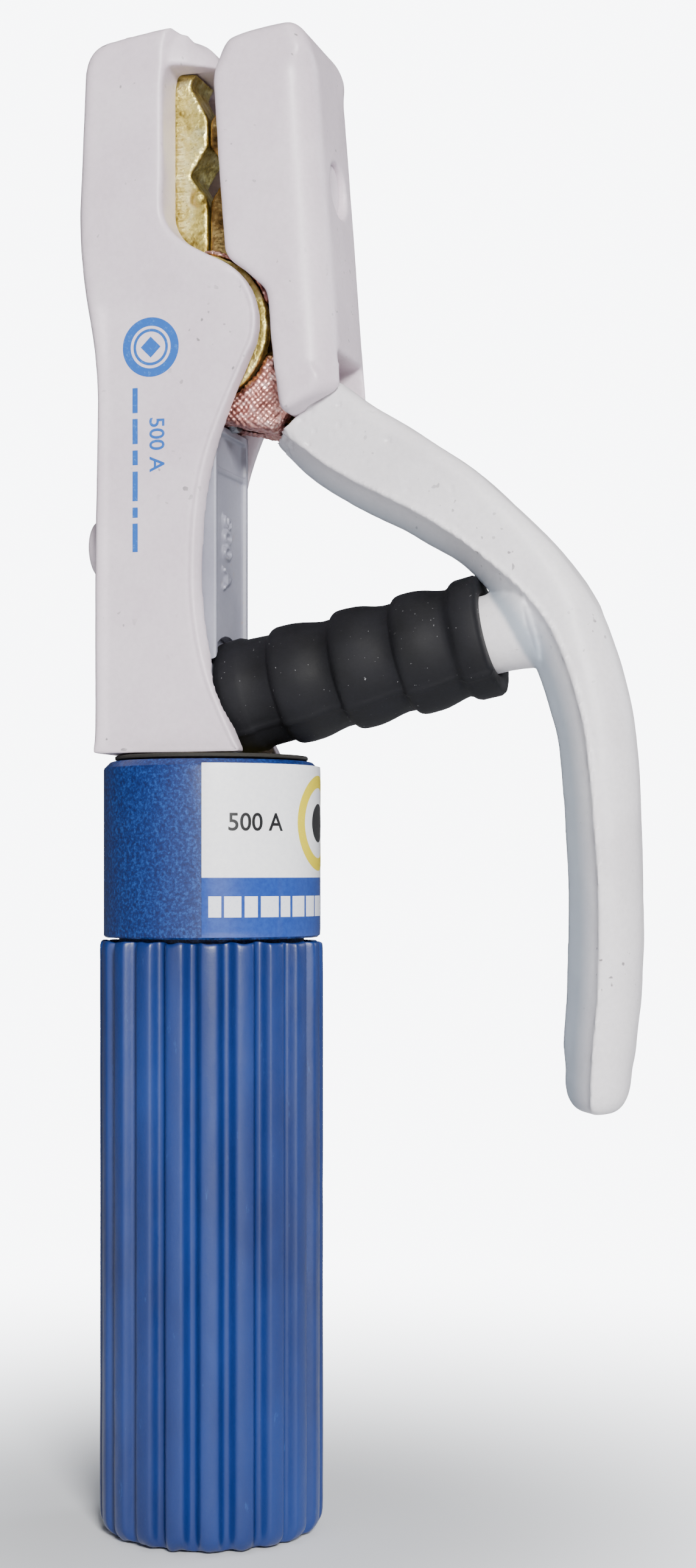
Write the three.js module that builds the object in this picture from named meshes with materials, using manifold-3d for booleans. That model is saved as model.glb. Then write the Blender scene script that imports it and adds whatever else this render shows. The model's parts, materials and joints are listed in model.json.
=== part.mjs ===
// Welding electrode holder, 500 A size: a spring-closed pair of brass jaws under insulating covers,
// on a tubular handle that takes the welding cable. Millimetres, +Z from the cable end to the jaws,
// +X towards the lever, Y across the thickness. The origin is the middle of the handle's rear end.
import * as THREE from 'three';
import { mergeVertices } from 'three/addons/utils/BufferGeometryUtils.js';
import Module from 'manifold-3d';

const wasm = await Module();
wasm.setup();

const fitGap = 0.3; // left between two pieces that rest on or slide in each other

// Handle
const gripLength = 104.9; // ribbed sleeve on the rear of the handle
const gripRadius = 20.3; // over the ribs
const ribCount = 20;
const ribDepth = 1.9;
const ribWidth = 3.2; // at the crest
const grooveWidth = 1.9; // at the bottom of a flute
const gripRim = 1.4; // how far the ends of the ribs slope in
const tubeSeatRadius = 16.5; // outside of the tube, under the sleeve and the collar
const collarRadius = 19.5; // the smooth collar above the sleeve
const collarLength = 31.1;
const collarChamfer = 1.3;
const handleBore = 12.2; // radius, clear for the cable and the tail of the body
const labelThickness = 0.35;
const labelHeight = 30;
const labelStart = 14; // degrees from the front, round towards the lever
const labelSweep = 176;
const washerThickness = 0.7; // fibre washer between the handle and the fixed cover
const washerRadius = 17.2;

// Heads of the screws and their holes
const handleScrewRadius = 2.5;
const handleScrewDrop = 6.3; // below the top of the handle
const cableScrewRadius = 3.6;
const cableScrewPlaces = [8, 20]; // above the mouth of the socket
const coverScrewRadius = 2.2;
const coverScrewHead = 3.6;
const braidScrewRadius = 1.6;
const braidScrewHead = 2.6;

// Body casting, from the pivot axis
const footToPivot = 74.4; // foot of the fixed cover to the pivot axis
const tailLength = 43;
const tailRadius = 11.5;
const socketRadius = 7.2; // takes the bared cable in its copper shim
const socketDepth = 31;
const shimThickness = 0.7;
const shankFront = -1.5; // the face of the shank that looks towards the lever
const earRadius = 13.1;
const earHalf = 8.2; // half the width of the shank and over the two ears
const lugRadius = 9.8; // the lever's lug, between the ears
const lugHalf = 4.4;
const pinRadius = 4;
const thrustWasher = 0.5;
const retainingRing = 0.5;
const ringWidth = 2.2;

// Jaws
const jawHalf = 5; // half the width of both jaws
const jawTop = 44;
const jawFace = 1; // the fixed jaw's face, and the moving jaw's is a gap further
const jawGap = 0.4;
const grooveDepth = 3.3;
const grooveHalf = 5; // half the mouth of a V groove
const grooveHeights = [28, 42.2];

// Covers
const coverBevel = 0.8; // of the fixed cover's outer edges
const upperBevel = 1.2; // of the upper cover's
const coverHalf = 13; // half the thickness of both covers
const channelHalf = 9.3; // inside the channel of the fixed cover
const spine = -17; // back of the fixed cover
const spineWall = 3.6;
const crownBack = -20.2; // back of the fixed cover at the jaw
const crownTop = 51;
const windowEdge = -4.8; // edge of the side walls beside the fixed jaw
const bulgeRadius = 12.3; // side walls round the pivot
const waist = 1.7; // edge of the side walls at their narrowest
const footFront = 9.5;
const capHalf = 7; // the roof over the fixed jaw
const capReach = 4.1;
const bossHeight = -37; // screw boss on the spine
const bossRadius = 5.5;
const bossProud = 5;
const panelFront = 3.4; // panel that closes the channel
const panelThickness = 3;
const panelTop = -16.6;
const upperTop = 50.5;
const upperFront = [ // edge of the side walls from beside the moving jaw down to the lever
  [4.5, 41.5],
  [5.4, 28],
  [6.6, 12.3],
  [9.8, 9.1],
  [13.8, 5.5],
  [14.5, 4.6],
  [14.8, -2],
  [16.2, -14.6],
  [17.4, -16.1],
];
const upperBack = 25.9; // back face of the upper cover at its foot
const upperLean = 0.077; // how much that face leans in over its height
const upperFoot = -12;
const upperWall = 4;
const notchTop = -5.3;
const upperScrewHeight = 24.5;
const upperScrewWell = 4.8; // radius of the well over the screw
const wellDepth = 2.6;
const backRound = 6; // of the two long edges at the back

// Lever: the middle of its sleeve from the jaws to the tip, and half its width at each place
const leverPath = [
  [19.6, -15.6, 7.9],
  [30.9, -23.9, 8.3],
  [42.4, -30.8, 7.6],
  [51.4, -37.7, 6.6],
  [64.2, -54.2, 7],
  [70, -76, 6.5],
  [71.1, -98, 6.3],
  [69.8, -130.2, 6.2],
];
const leverHalf = 7.5; // half the thickness of the sleeve
const leverRound = 2.6; // of its four long edges
const armHalf = 4.2; // half the thickness of the casting inside the sleeve
const armWidth = 4.2; // half its width
const armReach = 4; // how many places of the path it runs through
const armStart = [[13.5, 4], [15.5, -7]]; // how it leaves the knuckle

// Return spring and its boot, along their own tilted axis from the fixed cover to the lever
const springFrom = [4, -64.6];
const springTo = [49.8, -54.5];
const bootEndRadius = 10;
const bootCrest = 10.7;
const bootValley = 9.4;
const bootBore = 7.9;
const bootFolds = 3;
const bootFoldPitch = 11.55;
const firstCrest = 13.8;
const bootBand = 4.6;
const bootFlange = 4.1;
const bossFit = 2; // how far the lever's boss enters the boot
const leverBossRadius = 6.9;
const springRadius = 6; // to the middle of the wire
const wireRadius = 1.1;
const springTurns = 8;
const seatDepth = 6.7; // of the spring seat behind the end of the boot
const seatThickness = 1.5;
const seatRadius = 7.6;

// Heights that follow from the stack on the handle
const shoulder = gripLength + fitGap;
const collarTop = shoulder + collarLength;
const coverFootHeight = collarTop + fitGap + washerThickness + fitGap;
const pivotHeight = coverFootHeight + footToPivot;
const foot = -footToPivot;
const spineInside = spine + spineWall;
const slotHalf = lugHalf + fitGap + thrustWasher + fitGap;
const boreGap = 0.4; // a pin or screw in its hole
const through = 40; // past the far side of any piece, for a cut that goes right through
const headHeight = 1.8; // of a cover screw's cheese head
const slitHalf = 0.5; // half the width of a screwdriver slot

// One closed mesh with shared vertices, faces outwards whichever way it was drawn.
function closed(geometry) {
  geometry.deleteAttribute('normal');
  geometry.deleteAttribute('uv');
  const merged = mergeVertices(geometry, 1e-4);
  const place = merged.getAttribute('position');
  const corners = [];
  let volume = 0;
  const [a, b, c] = [new THREE.Vector3(), new THREE.Vector3(), new THREE.Vector3()];
  for (let i = 0; i < merged.index.count; i += 3) {
    const [p, q, r] = [0, 1, 2].map((k) => merged.index.getX(i + k));
    if (p === q || q === r || r === p) continue;
    corners.push(p, q, r);
    a.fromBufferAttribute(place, p);
    b.fromBufferAttribute(place, q);
    c.fromBufferAttribute(place, r);
    volume += a.dot(b.cross(c));
  }
  if (volume < 0) corners.reverse();
  merged.setIndex(corners);
  return merged;
}

function solid(geometry) {
  const mesh = closed(geometry);
  const vertProperties = new Float32Array(mesh.getAttribute('position').array);
  const triVerts = new Uint32Array(mesh.index.array);
  return new wasm.Manifold(new wasm.Mesh({ numProp: 3, vertProperties, triVerts }));
}

function geometryOf(manifold) {
  const { vertProperties, triVerts, numProp } = manifold.getMesh();
  const places = [];
  for (let i = 0; i < vertProperties.length; i += numProp) {
    places.push(vertProperties[i], vertProperties[i + 1], vertProperties[i + 2]);
  }
  const geometry = new THREE.BufferGeometry();
  geometry.setAttribute('position', new THREE.Float32BufferAttribute(places, 3));
  geometry.setIndex(Array.from(triVerts));
  return geometry;
}

// An outline without the doubled points where its curves meet.
function cleaned(shape) {
  const points = shape.getPoints(8);
  return new THREE.Shape(points.filter((point, i) => {
    const before = points[(i + points.length - 1) % points.length];
    return point.distanceTo(before) > 0.02;
  }));
}

// An outline in the X-Z plane, given its thickness both ways along Y.
function plate(shape, half, round = 0, steps = 2) {
  const geometry = new THREE.ExtrudeGeometry(cleaned(shape), {
    depth: 2 * (half - round),
    bevelEnabled: round > 0,
    bevelSize: round,
    bevelThickness: round,
    bevelOffset: -round,
    bevelSegments: steps,
  });
  geometry.translate(0, 0, round - half);
  geometry.rotateX(Math.PI / 2);
  return geometry;
}

function polygon(points) {
  return new THREE.Shape(points.map(([x, z]) => new THREE.Vector2(x, z)));
}

function block(x0, x1, y0, y1, z0, z1) {
  const geometry = new THREE.BoxGeometry(x1 - x0, y1 - y0, z1 - z0);
  return geometry.translate((x0 + x1) / 2, (y0 + y1) / 2, (z0 + z1) / 2);
}

// A round bar from one point to another.
function bar(radius, from, to, sides = 24) {
  const start = new THREE.Vector3(...from);
  const run = new THREE.Vector3(...to).sub(start);
  const geometry = new THREE.CylinderGeometry(radius, radius, run.length(), sides);
  geometry.translate(0, run.length() / 2, 0);
  const turn = new THREE.Quaternion().setFromUnitVectors(new THREE.Vector3(0, 1, 0), run.normalize());
  geometry.applyQuaternion(turn);
  return geometry.translate(start.x, start.y, start.z);
}

// A profile of radius and height turned round the Z axis.
function turned(profile, sides = 32) {
  const points = profile.map(([radius, height]) => new THREE.Vector2(radius, height));
  const geometry = new THREE.LatheGeometry(points, sides);
  return geometry.rotateX(Math.PI / 2);
}

function ring(inner, outer, bottom, top, sides) {
  const profile = [[inner, bottom], [outer, bottom], [outer, top], [inner, top], [inner, bottom]];
  return turned(profile, sides);
}

// A flat band of changing width that follows a path in the X-Z plane, as an outline.
function band(places, extra = 0, roundTip = false) {
  const middle = new THREE.SplineCurve(places.map(([x, z]) => new THREE.Vector2(x, z)));
  const steps = 3 * (places.length - 1);
  const near = [];
  const far = [];
  for (let i = 0; i <= steps; i += 1) {
    const share = i / steps;
    const point = middle.getPoint(share);
    const ahead = middle.getTangent(share);
    const at = share * (places.length - 1);
    const low = Math.min(Math.floor(at), places.length - 2);
    const half = extra + THREE.MathUtils.lerp(places[low][2], places[low + 1][2], at - low);
    near.push([point.x - ahead.y * half, point.y + ahead.x * half]);
    far.push([point.x + ahead.y * half, point.y - ahead.x * half]);
  }
  if (roundTip) near.push(...tipArc(middle, places[places.length - 1][2] + extra));
  return polygon([...near, ...far.reverse()]);
}

function tipArc(middle, radius) {
  const centre = middle.getPoint(1);
  const ahead = middle.getTangent(1);
  const start = Math.atan2(ahead.x, -ahead.y);
  const steps = 8;
  const points = [];
  for (let i = 1; i < steps; i += 1) {
    const angle = start - (Math.PI * i) / steps;
    points.push([centre.x + radius * Math.cos(angle), centre.y + radius * Math.sin(angle)]);
  }
  return points;
}

// ---- Handle ----

function handleScrewHole() {
  const height = collarTop - handleScrewDrop;
  const radius = handleScrewRadius + boreGap;
  return solid(bar(radius, [0, handleBore - 2, height], [0, collarRadius + 2, height]));
}

// A plain tube over the whole length, which carries the ribbed sleeve and the collar.
function handleTube() {
  return geometryOf(solid(ring(handleBore, tubeSeatRadius, 0, collarTop, 48)).subtract(handleScrewHole()));
}

function handleCollar() {
  const inner = tubeSeatRadius + fitGap;
  const profile = [
    [inner, shoulder],
    [collarRadius, shoulder],
    [collarRadius, collarTop - collarChamfer],
    [collarRadius - collarChamfer, collarTop],
    [inner, collarTop],
    [inner, shoulder],
  ];
  return geometryOf(solid(turned(profile, 48)).subtract(handleScrewHole()));
}

// The ribs run the whole length, and slope in at both ends.
function gripSleeve() {
  const outline = new THREE.Shape();
  const pitch = (2 * Math.PI) / ribCount;
  const rootRadius = gripRadius - ribDepth;
  const crest = ribWidth / gripRadius / 2;
  const flute = grooveWidth / rootRadius / 2;
  for (let i = 0; i < ribCount; i += 1) {
    const middle = i * pitch - Math.PI / 2;
    const corners = [
      [rootRadius, middle - pitch / 2 + flute],
      [gripRadius - ribDepth / 4, middle - crest],
      [gripRadius, middle - crest / 2],
      [gripRadius, middle + crest / 2],
      [gripRadius - ribDepth / 4, middle + crest],
      [rootRadius, middle + pitch / 2 - flute],
    ];
    corners.forEach(([radius, angle], k) => {
      const point = [radius * Math.cos(angle), radius * Math.sin(angle)];
      if (i + k === 0) outline.moveTo(...point);
      else outline.lineTo(...point);
    });
  }
  const ribbed = new THREE.ExtrudeGeometry(outline, { depth: gripLength, bevelEnabled: false });
  const envelope = turned([
    [0, 0],
    [gripRadius + fitGap - gripRim, 0],
    [gripRadius + fitGap, gripRim],
    [gripRadius + fitGap, gripLength - gripRim / 2],
    [gripRadius + fitGap - gripRim / 2, gripLength],
    [0, gripLength],
  ], 40);
  const bore = bar(tubeSeatRadius + fitGap, [0, 0, -1], [0, 0, gripLength + 1], 48);
  return geometryOf(solid(ribbed).intersect(solid(envelope)).subtract(solid(bore)));
}

function ratingLabel() {
  const inner = collarRadius + fitGap;
  const outer = inner + labelThickness;
  const start = THREE.MathUtils.degToRad(labelStart - 90);
  const end = start + THREE.MathUtils.degToRad(labelSweep);
  const sector = new THREE.Shape();
  sector.absarc(0, 0, outer, start, end, false);
  sector.absarc(0, 0, inner, end, start, true);
  const geometry = new THREE.ExtrudeGeometry(sector, {
    depth: labelHeight,
    bevelEnabled: false,
    curveSegments: 24,
  });
  return geometry.translate(0, 0, shoulder + fitGap);
}

function handleScrew() {
  const height = collarTop - handleScrewDrop;
  return bar(handleScrewRadius, [0, tailRadius - 3, height], [0, collarRadius - 0.5, height], 16);
}

function fibreWasher() {
  const bottom = collarTop + fitGap;
  return ring(handleBore, washerRadius, bottom, bottom + washerThickness, 40);
}

// ---- Body casting: tail with the cable socket, shank, two ears and the fixed jaw ----

function groovePrisms(face, inward) {
  return grooveHeights.map((height) => {
    const mouth = face - inward;
    const spread = grooveHalf * (1 + 1 / grooveDepth);
    const shape = polygon([
      [face + inward * grooveDepth, height],
      [mouth, height + spread],
      [mouth, height - spread],
    ]);
    return solid(plate(shape, jawHalf + 1));
  });
}

function cableScrewHeights() {
  const socketMouth = coverFootHeight - tailLength;
  return cableScrewPlaces.map((place) => socketMouth + place);
}

function bodyCasting() {
  const lowered = foot - 0.6; // top of the tail, under the foot of the cover
  const tail = solid(bar(tailRadius, [0, 0, foot - tailLength], [0, 0, lowered], 40));
  const neckBar = solid(bar(tailRadius, [0, 0, lowered - 3], [0, 0, foot + 4], 40));
  const shankBack = spineInside + fitGap;
  const neck = neckBar.intersect(solid(block(shankBack, shankFront, -earHalf, earHalf, foot - 6, foot + 6)));
  const shank = solid(block(shankBack, shankFront, -earHalf, earHalf, foot + 0.5, 0));
  const ears = solid(bar(earRadius, [0, -earHalf, 0], [0, earHalf, 0], 36));
  const jaw = solid(block(shankBack, jawFace, -jawHalf, jawHalf, 4, jawTop));
  const slotRound = solid(bar(lugRadius + 0.4, [0, -slotHalf, 0], [0, slotHalf, 0], 40));
  const slotFront = jawFace + jawGap / 2;
  const slot = solid(block(slotFront, 40, -slotHalf, slotHalf, -40, jawTop + 5));
  const pinHole = solid(bar(pinRadius + boreGap, [0, -through, 0], [0, through, 0]));
  let body = tail.add(neck).add(shank).add(ears).add(jaw).subtract(slotRound).subtract(slot).subtract(pinHole);
  for (const prism of groovePrisms(jawFace, -1)) body = body.subtract(prism);
  const mouth = foot - tailLength;
  body = body.subtract(solid(bar(socketRadius, [0, 0, mouth - 1], [0, 0, mouth + socketDepth], 32)));
  body = body.subtract(solid(alongSpring(seatRadius + boreGap, -seatDepth - fitGap, 12)));
  const coverScrew = bar(coverScrewRadius + boreGap, [-30, 0, bossHeight], [-4, 0, bossHeight], 16);
  body = body.subtract(solid(coverScrew));
  for (const height of cableScrewHeights()) {
    const level = height - pivotHeight;
    body = body.subtract(solid(bar(cableScrewRadius + boreGap, [0, 4, level], [0, 20, level], 20)));
  }
  const handleLevel = collarTop - handleScrewDrop - pivotHeight;
  const handleHole = bar(handleScrewRadius + boreGap, [0, tailRadius - 3.5, handleLevel], [0, 20, handleLevel]);
  body = body.subtract(solid(handleHole));
  const braidHole = bar(braidScrewRadius + boreGap, [-9, 0, braidScrewLevel()], [6, 0, braidScrewLevel()], 16);
  body = body.subtract(solid(braidHole));
  return geometryOf(body);
}

function cableShim() {
  const outer = socketRadius - fitGap;
  const mouth = coverFootHeight - tailLength;
  return ring(outer - shimThickness, outer, mouth, mouth + socketDepth - fitGap, 32);
}

function cableScrew(height) {
  return bar(cableScrewRadius, [0, socketRadius + fitGap, height], [0, tailRadius - 0.2, height], 20);
}

// ---- Pivot ----

function pivotPin() {
  return bar(pinRadius, [0, -channelHalf + fitGap, 0], [0, channelHalf - fitGap, 0]);
}

function flatRing(inner, outer, near, far) {
  return ring(inner, outer, near, far, 28).rotateX(-Math.PI / 2);
}

function thrustWasherAt(side) {
  const near = side * (lugHalf + fitGap);
  return flatRing(pinRadius + boreGap, lugRadius - 1.5, near, near + side * thrustWasher);
}

// An open ring with a gap for the pliers, on the end of the pin.
function retainingRingAt(side) {
  const near = earHalf + fitGap;
  const inner = pinRadius + fitGap;
  const opening = 0.5; // half of the gap, in radians
  const shape = new THREE.Shape();
  shape.absarc(0, 0, inner + ringWidth, opening, 2 * Math.PI - opening, false);
  shape.absarc(0, 0, inner, 2 * Math.PI - opening, opening, true);
  const geometry = plate(shape, retainingRing / 2);
  return geometry.translate(0, side * (near + retainingRing / 2), 0);
}

// ---- Covers ----

function fixedCoverShape() {
  const shape = new THREE.Shape();
  const start = 1.17; // where the edge meets the round over the pivot, in radians
  const end = -0.31;
  shape.moveTo(spine, foot);
  shape.lineTo(spine, -9);
  shape.bezierCurveTo(spine, 1, crownBack, 7, crownBack, 23);
  shape.lineTo(crownBack + 1.7, crownTop - 5);
  shape.quadraticCurveTo(crownBack + 2.2, crownTop - 1.7, crownBack + 5.2, crownTop - 1.4);
  shape.lineTo(windowEdge + 2.5, crownTop);
  shape.lineTo(windowEdge + 0.6, crownTop - 4.5);
  shape.lineTo(windowEdge, crownTop - 9);
  shape.lineTo(windowEdge, 21);
  shape.quadraticCurveTo(
    windowEdge + 0.5, 15.4, bulgeRadius * Math.cos(start), bulgeRadius * Math.sin(start));
  shape.absarc(0, 0, bulgeRadius, start, end, true);
  shape.bezierCurveTo(waist + 4.5, -16, waist, -24, waist, -43);
  shape.bezierCurveTo(waist, -55, waist + 2.8, -63.5, footFront, foot);
  return shape;
}

function fixedCover() {
  const walls = solid(plate(fixedCoverShape(), coverHalf, coverBevel, 1));
  const roof = solid(plate(polygon([
    [windowEdge - 6, crownTop - 1],
    [windowEdge + 2.5, crownTop - 0.4],
    [capReach - 3, crownTop - 1.5],
    [capReach - 1.1, crownTop - 4.2],
    [capReach, jawTop + fitGap],
    [windowEdge - 6, jawTop + fitGap],
  ]), capHalf, 1, 1));
  const boss = solid(bar(bossRadius, [spine - bossProud, 0, bossHeight], [spineInside + 0.5, 0, bossHeight]));
  const channel = block(spineInside, 40, -channelHalf, channelHalf, foot - 5, earRadius + fitGap);
  const pocketHalf = jawHalf + fitGap;
  const pocket = block(spineInside, 40, -pocketHalf, pocketHalf, 0, jawTop + fitGap);
  const screwHole = bar(coverScrewRadius + boreGap, [spine - 9, 0, bossHeight], [0, 0, bossHeight], 16);
  const headHole = bar(coverScrewHead + boreGap, [spine - 9, 0, bossHeight], [spine - 1, 0, bossHeight]);
  const recess = alongSpring(bootCrest + 0.5, -fitGap, 30);
  return geometryOf(walls.add(roof).add(boss)
    .subtract(solid(channel))
    .subtract(solid(pocket))
    .subtract(solid(screwHole))
    .subtract(solid(headHole))
    .subtract(solid(recess)));
}

function fixedCoverScrew() {
  const underHead = spine - 1 - fitGap;
  const head = solid(bar(coverScrewHead, [underHead - 2.6, 0, bossHeight], [underHead, 0, bossHeight], 20));
  const shank = solid(bar(coverScrewRadius, [underHead - 1, 0, bossHeight], [-5, 0, bossHeight], 16));
  const slit = solid(block(underHead - 3, underHead - 1.4, -5, 5, bossHeight - slitHalf, bossHeight + slitHalf));
  return geometryOf(head.add(shank).subtract(slit));
}

function channelCover() {
  const half = channelHalf - fitGap;
  const back = panelFront - panelThickness;
  const panel = solid(block(back, panelFront, -half, half, foot + fitGap, panelTop));
  return geometryOf(panel
    .subtract(solid(alongSpring(bootBore, -20, 40)))
    .subtract(solid(alongSpring(bootCrest + 0.5, -fitGap, 30))));
}

function backFace(level) {
  return upperBack - upperLean * (level - upperFoot);
}

function upperJawCover() {
  const shape = polygon([
    [upperFront[0][0] + 2.1, upperTop - 1.3],
    [upperFront[0][0] + 0.7, upperTop - 3],
    [upperFront[0][0], upperTop - 6],
    ...upperFront,
    [upperBack, upperFoot],
    [backFace(upperTop - 7), upperTop - 7],
    [backFace(upperTop - 2) - 0.8, upperTop - 2.2],
    [backFace(upperTop) - 3.2, upperTop],
    [12.6, upperTop - 0.2],
  ]);
  const shell = solid(plate(shape, coverHalf, upperBevel, 1));
  const roundedBack = roundedBackBlock();
  const pocketHalf = jawHalf + fitGap;
  const innerTop = backFace(jawTop) - upperWall;
  const innerFoot = backFace(upperFoot - 5) - upperWall;
  const pocket = polygon([[-5, 0], [-5, jawTop + fitGap], [innerTop, jawTop + fitGap], [innerFoot, 0]]);
  const wide = polygon([[-5, -30], [-5, earRadius + 0.6], [backFace(13.7) - upperWall, earRadius + 0.6],
    [innerFoot, upperFoot - 5], [innerFoot, -30]]);
  const notch = block(innerFoot - 3, 40, -leverHalf - fitGap, leverHalf + fitGap, -40, notchTop);
  const level = upperScrewHeight;
  const well = bar(upperScrewWell, [backFace(level) - wellDepth, 0, level], [through, 0, level]);
  const hole = bar(coverScrewRadius + boreGap, [5, 0, level], [through, 0, level], 16);
  return geometryOf(shell.intersect(roundedBack)
    .subtract(solid(plate(pocket, pocketHalf)))
    .subtract(solid(plate(wide, channelHalf)))
    .subtract(solid(notch))
    .subtract(solid(well))
    .subtract(solid(hole)));
}

// The two long edges at the back of the upper cover are well rounded, and lean with its face.
function roundedBackBlock() {
  const radius = backRound;
  const shape = new THREE.Shape();
  const half = coverHalf + 0.5;
  shape.moveTo(-30, -half);
  shape.lineTo(upperBack - radius, -half);
  shape.absarc(upperBack - radius, -half + radius, radius, -Math.PI / 2, 0, false);
  shape.absarc(upperBack - radius, half - radius, radius, 0, Math.PI / 2, false);
  shape.lineTo(-30, half);
  const geometry = new THREE.ExtrudeGeometry(shape, { depth: 100, bevelEnabled: false, curveSegments: 5 });
  geometry.translate(0, 0, upperFoot - 25);
  const place = geometry.getAttribute('position');
  for (let i = 0; i < place.count; i += 1) {
    place.setX(i, place.getX(i) - upperLean * (place.getZ(i) - upperFoot) + 0.05);
  }
  return solid(geometry);
}

function upperCoverScrew() {
  const level = upperScrewHeight;
  const seat = backFace(level) - wellDepth + fitGap;
  const head = solid(bar(coverScrewHead, [seat, 0, level], [seat + headHeight, 0, level], 20));
  const shank = solid(bar(coverScrewRadius, [9, 0, level], [seat + 1, 0, level], 16));
  const slit = solid(block(seat + 1, seat + 3, -5, 5, level - slitHalf, level + slitHalf));
  return geometryOf(head.add(shank).subtract(slit));
}

// ---- Lever ----

function armPlaces() {
  const start = armStart.map(([x, z]) => [x, z, armWidth + 0.4]);
  return [...start, ...leverPath.slice(0, armReach).map(([x, z]) => [x, z, armWidth])];
}

function leverCasting() {
  const face = jawFace + jawGap;
  const backTop = backFace(jawTop) - upperWall - fitGap;
  const jawShape = polygon([
    [face, lugRadius + 0.8],
    [face, jawTop],
    [backTop, jawTop],
    [backTop + 2, lugRadius + 0.8],
  ]);
  const link = polygon([
    [3, 6],
    [face, lugRadius + 1.2],
    [face + 2, lugRadius + 2],
    [backTop + 1.8, lugRadius + 2],
    [backTop + 2, 0],
    [armStart[1][0], armStart[1][1]],
    [5, -6],
  ]);
  let casting = solid(plate(jawShape, jawHalf))
    .add(solid(plate(link, lugHalf)))
    .add(solid(bar(lugRadius, [0, -lugHalf, 0], [0, lugHalf, 0], 36)))
    .add(solid(plate(band(armPlaces()), armHalf)))
    .subtract(solid(bar(pinRadius + boreGap, [0, -through, 0], [0, through, 0])));
  for (const prism of groovePrisms(face, 1)) casting = casting.subtract(prism);
  const level = upperScrewHeight;
  const screwHole = bar(coverScrewRadius + boreGap, [8, 0, level], [through, 0, level], 16);
  const [x, z] = leverBraidScrewPlace();
  const braidHole = bar(braidScrewRadius + boreGap, [x, -through, z], [x, through, z], 16);
  return geometryOf(casting.subtract(solid(screwHole)).subtract(solid(braidHole)));
}

function leverSleeve() {
  const sleeve = solid(plate(band(leverPath, 0, true), leverHalf, leverRound, 2));
  const length = springLength();
  const boss = solid(alongSpring(leverBossRadius, length - bossFit, length + 9));
  const tipPlaces = armPlaces();
  const [endX, endZ] = tipPlaces[tipPlaces.length - 1];
  const pocket = solid(plate(band(tipPlaces, fitGap), armHalf + fitGap));
  const pocketEnd = solid(bar(armWidth + fitGap, [endX, -armHalf - fitGap, endZ], [endX, armHalf + fitGap, endZ]));
  return geometryOf(sleeve.add(boss).subtract(pocket).subtract(pocketEnd));
}

// ---- Spring and boot, on an axis tilted up towards the lever ----

function springDirection() {
  return new THREE.Vector3(springTo[0] - springFrom[0], 0, springTo[1] - springFrom[1]).normalize();
}

function springLength() {
  return Math.hypot(springTo[0] - springFrom[0], springTo[1] - springFrom[1]);
}

// Lays a piece that was made round the Z axis along the spring axis.
function onSpringAxis(geometry) {
  const turn = new THREE.Quaternion().setFromUnitVectors(new THREE.Vector3(0, 0, 1), springDirection());
  return geometry.applyQuaternion(turn).translate(springFrom[0], 0, springFrom[1]);
}

function alongSpring(radius, from, to) {
  return onSpringAxis(bar(radius, [0, 0, from], [0, 0, to], 28));
}

function springBoot() {
  const length = springLength();
  const outside = [[bootEndRadius, 0], [bootEndRadius, bootBand], [bootValley, bootBand + 0.6]];
  for (let i = 0; i < bootFolds; i += 1) {
    const crest = firstCrest + i * bootFoldPitch;
    outside.push([bootValley, crest - 3.3], [bootCrest - 0.3, crest - 1.4], [bootCrest, crest]);
    outside.push([bootCrest - 0.3, crest + 2.2], [bootValley, crest + 5.7]);
  }
  outside.push([bootCrest, length - bootFlange], [bootCrest, length]);
  const inside = [
    [leverBossRadius + fitGap, length],
    [leverBossRadius + fitGap, length - bossFit],
    [bootBore, length - bossFit - 0.5],
    [bootBore, 0],
  ];
  return onSpringAxis(turned([...outside, ...inside, outside[0]], 24));
}

function returnSpring() {
  const from = -seatDepth + seatThickness + fitGap + wireRadius;
  const to = springLength() - bossFit - 2 * fitGap - seatThickness - wireRadius;
  const turns = [];
  const perTurn = 12;
  for (let i = 0; i <= springTurns * perTurn; i += 1) {
    const share = i / (springTurns * perTurn);
    const angle = 2 * Math.PI * springTurns * share;
    const along = from + (to - from) * share;
    turns.push(new THREE.Vector3(springRadius * Math.cos(angle), springRadius * Math.sin(angle), along));
  }
  const section = new THREE.Shape();
  section.absarc(0, 0, wireRadius, 0, 2 * Math.PI, false);
  const helix = new THREE.CatmullRomCurve3(turns);
  const geometry = new THREE.ExtrudeGeometry(section, {
    steps: springTurns * perTurn,
    extrudePath: helix,
    curveSegments: 3,
    bevelEnabled: false,
  });
  return onSpringAxis(geometry);
}

// A cup on the shank that centres the rear end of the spring.
function springSeat() {
  const stem = springRadius - wireRadius - fitGap;
  const profile = [
    [0, -seatDepth],
    [seatRadius, -seatDepth],
    [seatRadius, -seatDepth + seatThickness],
    [stem, -seatDepth + seatThickness],
    [stem - 1, 0],
    [0, 0],
  ];
  return onSpringAxis(turned(profile, 28));
}

function springPlate() {
  const top = springLength() - bossFit - fitGap;
  const profile = [
    [0, top - seatThickness],
    [leverBossRadius, top - seatThickness],
    [leverBossRadius, top],
    [0, top],
  ];
  return onSpringAxis(turned(profile, 28));
}

// ---- Flexible braid: a woven strap laid round the arm, from the shank to the lever casting ----

function braidScrewLevel() {
  return -earRadius - 1.4;
}

function leverBraidScrewPlace() {
  return [armStart[1][0] + 0.6, armStart[1][1] + 0.2];
}

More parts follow.
